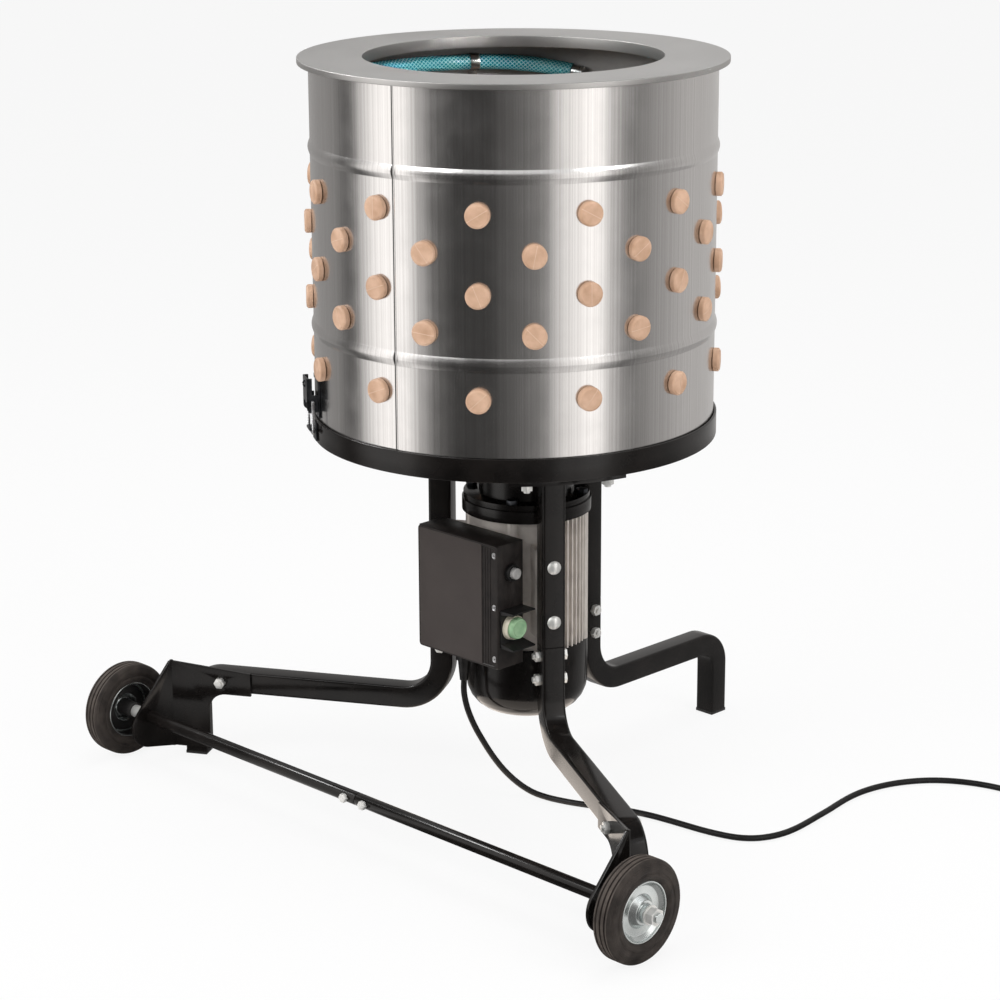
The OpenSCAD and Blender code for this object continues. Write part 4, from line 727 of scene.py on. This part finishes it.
def hose_fittings():
    """Plug in the hose's drooping end, and the elbow and threaded inlet at the other."""
    end = hose_point(HOSE_START)
    ahead = (end - hose_point(HOSE_START + 0.5)).normalized()
    plug = move(*end) @ ahead.to_track_quat("Z", "Y").to_matrix().to_4x4()
    outline = [(0, 0.1), (9.5, 0.1), (9.5, 16), (0, 16)]
    fittings = Shape().add(lathe(rounded(outline, 1.5, 3, False), 32, False), plug)
    for z in (4, 8, 12):
        fittings.add(lathe([(9.3, z - 0.8), (9.9, z - 0.3), (9.9, z + 0.3), (9.3, z + 0.8)], 32), plug)
    elbow = AT_DRUM @ face(INLET_AT) @ move(HOSE_R, 0, HOSE_Z)
    angles = [a / 12 * math.pi for a in range(-5, 6)]
    knuckle = [(0, -10)] + [(10 * math.cos(a), 10 * math.sin(a)) for a in angles] + [(0, 10)]
    fittings.add(lathe(knuckle, 32, False), elbow)
    fittings.add(rod(10, 0, 13, 32), elbow @ ALONG_X)
    spigot = [(0, 0), (9.5, 0), (9.5, 15), (9.3, 16), (0, 16)]
    fittings.add(lathe(spigot, 32, False), elbow @ Matrix.Diagonal((1, -1, 1, 1)) @ ALONG_Y)
    thread = [(8, 0), (13.2, 0), (13.2, 5)]
    for i in range(9):
        thread += [(12.2, 6 + i * 2.4), (13.2, 7.2 + i * 2.4)]
    thread += [(12.4, 29.4), (11.6, 30), (8, 30)]
    inlet = AT_DRUM @ face(INLET_AT) @ move(DRUM_R + 1, 0, HOSE_Z) @ ALONG_X
    fittings.add(lathe(thread, 40), inlet)
    fittings.make("hose_ends", M["zinc"], stands_for=("hose_fittings",), slot="zinc")


drum_shell()
drum_rim()
drum_fingers()
irrigation_hose()
hose_fittings()


# Base ring and latches

BAND_R, BAND_H, BAND_T, FLANGE_R = 258.0, 29.0, 3.0, 235.0


def base_ring():
    inside = BAND_R - BAND_T
    outline = [(FLANGE_R, 0), (BAND_R, 0), (BAND_R, BAND_H)]
    outline += [(inside, BAND_H), (inside, BAND_T), (FLANGE_R, BAND_T)]
    Shape().add(lathe(rounded(outline, 1.1, 4), 192), AT_DRUM @ move(0, 0, BASE_Z)).make(
        "base_band", M["paint"], stands_for=("base_ring",), slot="black_paint")


LATCHES = (("front", -31.4), ("rear", 164.6))
LATCH_AXIS_R = 264.1
# The bail's pin above the ring's foot, and the bail's drop, half width and wire
PIN_Z, BAIL_DROP, BAIL_REACH, WIRE_R = 55.0, 40.3, 15.8, 2.0
BAIL_THREADS, BAIL_PITCH = 12, 2.2
RING_OUT, RING_Z, RING_R, RING_WIRE_R = 4.0, 76.5, 5.0, 1.1


def latch(name, angle):
    """A latch's wire bail, threaded on both legs, and the ring on its lever's tip."""
    foot = AT_DRUM @ turn(angle + 180) @ move(0, LATCH_AXIS_R, BASE_Z)
    pin = foot @ move(0, 0, PIN_Z)
    drop, reach = BAIL_DROP, BAIL_REACH
    bail = Shape()
    thread = [(0, -drop + 3)]
    for i in range(BAIL_THREADS):
        z = -drop + 5 + i * BAIL_PITCH
        thread += [(1.5, z - 0.9), (WIRE_R, z - 0.3), (WIRE_R, z + 0.3), (1.5, z + 0.9)]
    thread += [(WIRE_R, -8), (WIRE_R, 0), (0, 0)]
    ball = [(0, -2), (1.4, -1.4), (2, 0), (1.4, 1.4), (0, 2)]
    for side in (-1, 1):
        leg = pin @ move(side * reach, 0, 0)
        bail.add(lathe(thread, 20, False), leg)
        bend = [(side * (reach - x), 0, z - drop) for x, z in ((0, 4), (0, 2.5), (0.6, 0.9), (2, 0))]
        bail.add(sweep(bend, circle(WIRE_R, 16), (0, 1, 0)), pin)
        bail.add(rod(1.5, 0, reach - 11.5, 16), leg @ turn(-90 * side, "Y"))
        bail.add(lathe(ball, 20, False), leg)
    bail.add(rod(WIRE_R, -reach + 2, reach - 2, 20), pin @ move(0, 0, -drop) @ ALONG_X)
    bail.make(
        name + "_bail_wire", M["machined"], body=name + "_bail", stands_for=(name + "_latch_bail",),
        slot="black_steel")
    loop = [(0, y + RING_OUT, z + RING_Z) for y, z in circle(RING_R, 28)]
    ring = Shape().add(sweep(loop, circle(RING_WIRE_R, 12), (1, 0, 0)), foot)
    ring.make(name + "_lever_ring", M["dark"], body=name + "_lever", slot="black_steel")


base_ring()
for latch_name, latch_angle in LATCHES:
    latch(latch_name, latch_angle)


# Stand

TUBE_W = 30.0
TUBE = rounded(oblong((-TUBE_W / 2, -TUBE_W / 2), (TUBE_W / 2, TUBE_W / 2)), 3.6, 4)
TUBE_END = 0.955
POST_R, LEG_Z, BEND_R, FOOT_BEND_R = 114.0, 109.0, 55.0, 34.0
FRONT_REACH, REAR_REACH = 465.0, 376.0
PAD_T = 4.0


def tube(path):
    """Square tube along a path, its first end a little eased."""
    path = [Vector(p) for p in path]
    path.insert(1, path[0] + (path[1] - path[0]).normalized() * 0.7)
    return sweep(path, TUBE, (0, 1, 0), [TUBE_END] + [1] * (len(path) - 1))


def stand():
    posts, fronts, rear = Shape(), Shape(), Shape()
    elbow = arc((POST_R + BEND_R, LEG_Z + BEND_R), BEND_R, 180, 270, 16)
    for angle in LEG_ANGLES:
        place = AT_MOTOR @ face(angle)
        posts.add(tube([(POST_R, 0, JOINT_Z), (POST_R, 0, POST_TOP)]), place)
        legs, reach = (fronts, FRONT_REACH) if angle < 180 else (rear, REAR_REACH)
        foot = arc((reach - FOOT_BEND_R, LEG_Z - FOOT_BEND_R), FOOT_BEND_R, 90, 0, 14)
        legs.add(tube([(POST_R, 0, JOINT_Z)] + elbow + foot + [(reach, 0, PAD_T)]), place)
    posts.make("post_tubes", M["paint"], stands_for=("upper_posts",), slot="black_paint")
    fronts.make("front_leg_tubes", M["paint"], stands_for=("front_legs",), slot="black_paint")
    rear.make("rear_leg_tube", M["paint"], stands_for=("rear_leg",), slot="black_paint")


stand()


# Wheels

TYRE_R, GROOVE_R, SHOULDER_R = 63.5, 61.6, 62.6
GROOVES = (-6.6, 0, 6.6)
# The disc's inner side is black as painted shade of its recess, short of this radius and this far out along
# the axle
PAINTED_SHADE_R, PAINTED_SHADE_OUT = 36.2, 2.8
DISC = [
    (6.05, -19), (11, -19), (11, 9.5), (14, 9.5), (19.5, 2.5), (31.5, 2.5), (35.5, 7), (35.5, -12), (38, -12),
    (38, 12), (35.5, 12), (35.5, 9.5), (30.5, 5), (20.5, 5), (15, 12), (11, 12), (11, 19), (6.05, 19),
]


def tyre_outline():
    """Tyre's section: stepped side walls with three raised rings, and a grooved tread."""
    side = [(38.1, -12), (43, -15), (46, -15), (47, -14.2), (49, -14.2), (50, -15), (53.5, -15)]
    for r, z in ((54.4, -14.5), (56, -13.9), (57.6, -13.1)):
        side += [(r, z), (r + 0.8, z - 0.3)]
    side += [(59.6, -12.6), (61.8, -11.4), (63.2, -9.6)]
    tread = []
    for middle in GROOVES:
        tread += [(TYRE_R, middle - 1.3), (GROOVE_R, middle - 0.7)]
        tread += [(GROOVE_R, middle + 0.7), (TYRE_R, middle + 1.3)]
    return side + tread + [(r, -z) for r, z in reversed(side)]


def wheels():
    for name, way in (("left", -1), ("right", 1)):
        place = move(way * WHEEL_X, AXLE_Y, AXLE_Z) @ turn(90 * way, "Y")
        body = "wheel_" + name
        tyre = Shape().add(lathe(rounded(tyre_outline(), 0.5, 2), 96), place).make(
            name + "_tyre_ring", M["tyre"], body=body, stands_for=(name + "_tyre",), slot="tyre", angle=50)
        tyre.data.materials.append(M["tread"])
        dish = Shape().add(lathe(rounded(DISC, 1.6, 4), 72), place).make(
            name + "_wheel_disc", M["zinc"], body=body, stands_for=(name + "_wheel",), slot="zinc", angle=50)
        # Second slot: the black rubber, given to the disc's inner faces below as painted shade of the recess
        dish.data.materials.append(M["pad"])
        hub = Vector((way * WHEEL_X, AXLE_Y, AXLE_Z)) * MM
        for polygon in dish.data.polygons:
            arm = polygon.center - hub
            if arm.x * way < PAINTED_SHADE_OUT * MM and math.hypot(arm.y, arm.z) < PAINTED_SHADE_R * MM:
                polygon.material_index = 1
        for polygon in tyre.data.polygons:
            arm = polygon.center - hub
            polygon.material_index = int(math.hypot(arm.y, arm.z) > SHOULDER_R * MM)


wheels()


# Controls

BOX_Z, BOX_H, BOX_W, BOX_MID_Y, BOX_FRONT = 208.0, 164.0, 144.0, -114.75, -139.25
BOX_TOP, BOX_SIDE = BOX_Z + BOX_H, BOX_W / 2
LID_STEPS = ((3, 0), (1.2, 0), (0.35, 0.35), (0, 1.2), (0, 3.2), (0.7, 3.9))
LINES_X = (45.5, 50, 54.5, 59)
PANEL_X, PANEL_W = -12.3, 113.4
SCREW_X, SCREW_R, SCREW_LEVELS = 66.0, 4.0, (0.08, 0.5, 0.92)
START_Z, RESET_Z = 261.5, 333.5


def screw_head(radius):
    """Countersunk head, its face at 0 looking along +Z, with a cross cut by four raised quarters."""
    outline = [(0, -1.6), (radius, -1.6), (radius, -0.2), (radius - 0.5, 0), (radius - 1, -0.5), (0, -0.7)]
    head = Shape().add(lathe(rounded(outline, 0.15, 2, False), 32, False))
    for i in range(4):
        head.add(block((0.45, 0.45, -0.75), (radius * 0.55, radius * 0.55, -0.1)), turn(90 * i))
    return head.verts, head.faces


def upright_strip(x, half_width, margin, depth):
    """Flat strip on the lid's face at depth, from foot to top less a margin."""
    loop = rounded(oblong((-half_width, -0.5), (half_width, 0.6)), 0.3, 2)
    y = BOX_FRONT + depth
    return sweep([(x, y, BOX_Z + margin), (x, y, BOX_TOP - margin)], loop, (1, 0, 0))


def lid():
    """Lid with a raised frame, four lines beside the panel, the panel's film and six screws."""
    frame_shape = Shape()
    loop = rounded(oblong((-BOX_SIDE, BOX_Z), (BOX_SIDE, BOX_TOP)), 5, 5)
    verts, faces, n = [], [], len(loop)
    middle = (BOX_Z + BOX_TOP) / 2
    for depth, inset in LID_STEPS:
        for x, z in loop:
            low = middle + (z - middle) * (1 - inset / (BOX_H / 2))
            verts.append((x * (1 - inset / BOX_SIDE), BOX_FRONT + depth, low))
    rings = len(verts) // n
    for k in range(rings - 1):
        for i in range(n):
            j = (i + 1) % n
            faces.append([k * n + i, k * n + j, (k + 1) * n + j, (k + 1) * n + i])
    faces += [list(range(n)), list(range((rings - 1) * n, rings * n))]
    frame_shape.add((verts, faces))
    for x in LINES_X:
        frame_shape.add(upright_strip(x, 0.6, 4, 0.6))
    frame_shape.make("lid_frame", M["box"], stands_for=("control_lid",), slot="box_paint", angle=30)
    panel = Shape().add(upright_strip(PANEL_X, PANEL_W / 2, 2.4, 0.2))
    panel.make("lid_panel", M["panel"], slot="box_paint")
    screws = Shape()
    for side in (-1, 1):
        for level in SCREW_LEVELS:
            place = move(side * SCREW_X, BOX_FRONT + 0.1, BOX_Z + level * BOX_H) @ turn(90, "X")
            screws.add(screw_head(SCREW_R), place @ turn(20 * side + 60 * level))
    screws.make("lid_screw_heads", M["machined"], stands_for=("lid_screws",), slot="zinc")


def buttons():
    """Start button with a dished face in its bezel, and the smaller reset button above it."""
    side = move(BOX_SIDE, BOX_MID_Y, START_Z) @ ALONG_X
    cap = [(0, 5), (14, 5), (14, 13.6), (12.6, 16), (10.6, 16), (9.8, 15.2), (0, 15.2)]
    button = Shape().add(lathe(rounded(cap, 0.9, 3, False), 48, False), side).add(rod(6, -7, 6, 24), side)
    button.make("start_cap", M["mint"], body="start", stands_for=("start_button",), slot="start_green")
    bezel = [(14.3, 0), (17, 0), (17, 2), (16, 2.6), (15.6, 9), (14.3, 9)]
    Shape().add(lathe(rounded(bezel, 0.6, 3), 48), side).make(
        "start_ring", M["cream"], stands_for=("start_bezel",), slot="bezel_cream")
    side = move(BOX_SIDE, BOX_MID_Y, RESET_Z) @ ALONG_X
    cap = [(0, 4), (7.25, 4), (7.25, 12), (0, 12)]
    button = Shape().add(lathe(rounded(cap, 1.4, 4, False), 40, False), side).add(rod(4, -6, 5, 24), side)
    button.make("reset_cap", M["grey"], body="reset", stands_for=("reset_button",), slot="reset_grey")


lid()
buttons()


# CAD nodes that show as they are, with each one's material and edge rounding

for cad_nodes, look, edge in (
    ("hose_clips", "zinc", 0.2),
    ("latch_bases latch_catches front_latch_lever rear_latch_lever", "dark", 0.5),
    ("latch_pins", "zinc", 0.3),
    ("base_spider wheel_brackets", "paint", 0.9),
    ("ring_bolts plate_bolt post_bolts leg_bolts axle_fasteners", "bolt", 0.6),
    ("axle_shaft", "zinc", 0.5),
    ("feather_plate", "satin", 0.4),
    ("output_shaft output_gear idler_shaft motor_shaft rotor_core ball_bearings", "machined", 0),
    ("cooling_fan reset_collar switch_guard cord_gland", "plastic", 0.6),
    ("shaft_seal foot_pads", "pad", 0.6),
    ("stator", "winding", 0),
    ("gearbox_housing end_bell", "paint", 1.5),
    ("gearbox_bolts", "dark", 0.6),
    ("motor_body", "alloy", 0.5),
    ("fan_cowl axle_sleeves", "paint", 0.4),
    ("control_box", "box", 1.2),
):
    for cad_node in cad_nodes.split():
        dress(cad_node, M[look], edge)


# Floor, surround and light

FLOOR_R, FLOOR_Z = 25000, -1
FLOOR_WHITE = 0.88


def empty_material(name):
    material = bpy.data.materials.new(name)
    material.use_nodes = True
    material.node_tree.nodes.clear()
    return material, material.node_tree


def seen_directly(tree):
    """1 for rays that reach the background from the camera, a mirror or glass."""
    path = node(tree, "ShaderNodeLightPath").outputs
    either = maths(tree, "MAXIMUM", path["Is Camera Ray"], path["Is Glossy Ray"])
    return maths(tree, "MAXIMUM", either, path["Is Transmission Ray"])


def floor():
    shape = lathe([(0, FLOOR_Z), (FLOOR_R, FLOOR_Z)], 96, False)
    mesh = bpy.data.meshes.new("floor")
    mesh.from_pydata([Vector(v) * MM for v in shape[0]], [], shape[1])
    piece = bpy.data.objects.new("floor", mesh)
    bpy.context.scene.collection.objects.link(piece)
    material, tree = empty_material("floor")
    plain = node(tree, "ShaderNodeBsdfDiffuse", {"Color": (0.9, 0.9, 0.9, 1)})
    white = node(tree, "ShaderNodeEmission", {"Color": (1, 1, 1, 1), "Strength": 1.0})
    share = maths(tree, "MULTIPLY", seen_directly(tree), FLOOR_WHITE)
    both = node(tree, "ShaderNodeMixShader", {0: share, 1: plain.outputs[0], 2: white.outputs[0]})
    node(tree, "ShaderNodeOutputMaterial", {0: both.outputs[0]})
    mesh.materials.append(material)


# Brightness of the surround against the angle right of the camera's side, in degrees
SURROUND = (
    (-180, 0.3), (-112, 0.22), (-102, 0.08), (-94, 0.12), (-82, 0.85), (-74, 1.05), (-57, 1.05), (-51, 0.42),
    (-44, 0.15), (-32, 0.04), (-12, 0.04), (2, 0.11), (13, 0.16), (19, 0.3), (25, 0.8), (32, 0.8), (37, 1.1),
    (46, 1.1), (52, 0.45), (64, 0.15), (80, 0.28), (105, 0.42), (180, 0.4),
)
CARD_LIGHT, FLOOR_SHARE, FADE_H = 1.5, 0.7, 60
CARD_Z, SURROUND_R, SURROUND_H = 2, 1750, 1600
OVERHEAD_R, OVERHEAD_Z, OVERHEAD_LIGHT = 1900, 2700, 0.16
UNDER_R, UNDER_LIGHT = 200, 1.8
UNSEEN_BY = ("camera", "diffuse", "transmission", "shadow", "volume_scatter")


def card(name, profile):
    """Studio card turned about the drum's axis, which only reflections see."""
    verts, faces = lathe(profile, 180, False)
    mesh = bpy.data.meshes.new(name)
    mesh.from_pydata([AT_DRUM @ Vector(v) * MM for v in verts], [], faces)
    piece = bpy.data.objects.new(name, mesh)
    bpy.context.scene.collection.objects.link(piece)
    for ray in UNSEEN_BY:
        setattr(piece, "visible_" + ray, False)
    material, tree = empty_material(name)
    mesh.materials.append(material)
    return tree


def surround():
    """Cards on the floor and round the machine, and a dim one above it."""
    tree = card("surround", [(UNDER_R, CARD_Z), (SURROUND_R, CARD_Z), (SURROUND_R, SURROUND_H)])
    xyz = node(tree, "ShaderNodeSeparateXYZ", {0: node(tree, "ShaderNodeTexCoord").outputs["Object"]})
    back = maths(tree, "SUBTRACT", DRUM_Y * MM, xyz.outputs[1])
    angle = maths(tree, "ARCTAN2", xyz.outputs[0], back)
    from_camera = maths(tree, "SUBTRACT", angle, math.radians(CAMERA_TURN))
    fraction = maths(tree, "FRACT", maths(tree, "MULTIPLY_ADD", from_camera, 0.5 / math.pi, 1.5))
    ramp = node(tree, "ShaderNodeValToRGB", {0: fraction})
    stops = ramp.color_ramp.elements
    while len(stops) < len(SURROUND):
        stops.new(0.5)
    for stop, (degrees, level) in zip(stops, SURROUND):
        stop.position = degrees / 360 + 0.5
        stop.color = (level, level * 0.975, level * 0.955, 1)
    strength = spread(tree, xyz.outputs[2], 0, FADE_H * MM, FLOOR_SHARE * CARD_LIGHT, CARD_LIGHT)
    glow = node(tree, "ShaderNodeEmission", {"Color": ramp.outputs[0], "Strength": strength})
    node(tree, "ShaderNodeOutputMaterial", {0: glow.outputs[0]})
    for name, radius, height, colour, level in (
        ("overhead", OVERHEAD_R, OVERHEAD_Z, (1, 0.98, 0.96, 1), OVERHEAD_LIGHT),
        ("underneath", UNDER_R, CARD_Z, (1, 0.9, 0.81, 1), UNDER_LIGHT),
    ):
        tree = card(name, [(0, height), (radius, height)])
        glow = node(tree, "ShaderNodeEmission", {"Color": colour, "Strength": level})
        node(tree, "ShaderNodeOutputMaterial", {0: glow.outputs[0]})


WORLD_LIGHT = 0.45


def world():
    made = bpy.data.worlds.new("studio")
    bpy.context.scene.world = made
    made.use_nodes = True
    tree = made.node_tree
    tree.nodes.clear()
    dim = node(tree, "ShaderNodeBackground", {0: (1, 1, 1, 1), 1: WORLD_LIGHT})
    white = node(tree, "ShaderNodeBackground", {0: (1, 1, 1, 1), 1: 1.0})
    parts = {0: seen_directly(tree), 1: dim.outputs[0], 2: white.outputs[0]}
    node(tree, "ShaderNodeOutputWorld", {0: node(tree, "ShaderNodeMixShader", parts).outputs[0]})


def lamp(name, place, target, size, power, beam=180):
    """Soft lamp at a place in metres, in watts; beam is how widely it shines, in degrees."""
    light = bpy.data.lights.new(name, "AREA")
    light.shape = "RECTANGLE"
    light.size, light.size_y = size
    light.energy = power
    light.spread = math.radians(beam)
    piece = bpy.data.objects.new(name, light)
    piece.location = place
    piece.rotation_euler = (Vector(target) - Vector(place)).to_track_quat("-Z", "Y").to_euler()
    bpy.context.scene.collection.objects.link(piece)
    return piece


floor()
surround()
world()
MACHINE_MIDDLE = (0, 0, 0.5)
lamp("key", (-0.6, -3.2, 2.6), MACHINE_MIDDLE, (2.4, 2.0), 62)
lamp("strip", (-2.2, -1.12, 2.24), (-2.2, -0.32, 0.06), (1.4, 0.5), 60).visible_diffuse = False
lamp("fill", (3.0, 0.4, 2.2), MACHINE_MIDDLE, (1.4, 1.4), 30)
lamp("top", (0.2, 0.4, 3.4), MACHINE_MIDDLE, (2.0, 2.0), 40)
lamp("opening", (2.47, -0.37, 1.8), (-0.226, 0.024, 0.92), (0.3, 0.3), 0.27, 9)
bpy.context.scene.view_settings.view_transform = "Standard"
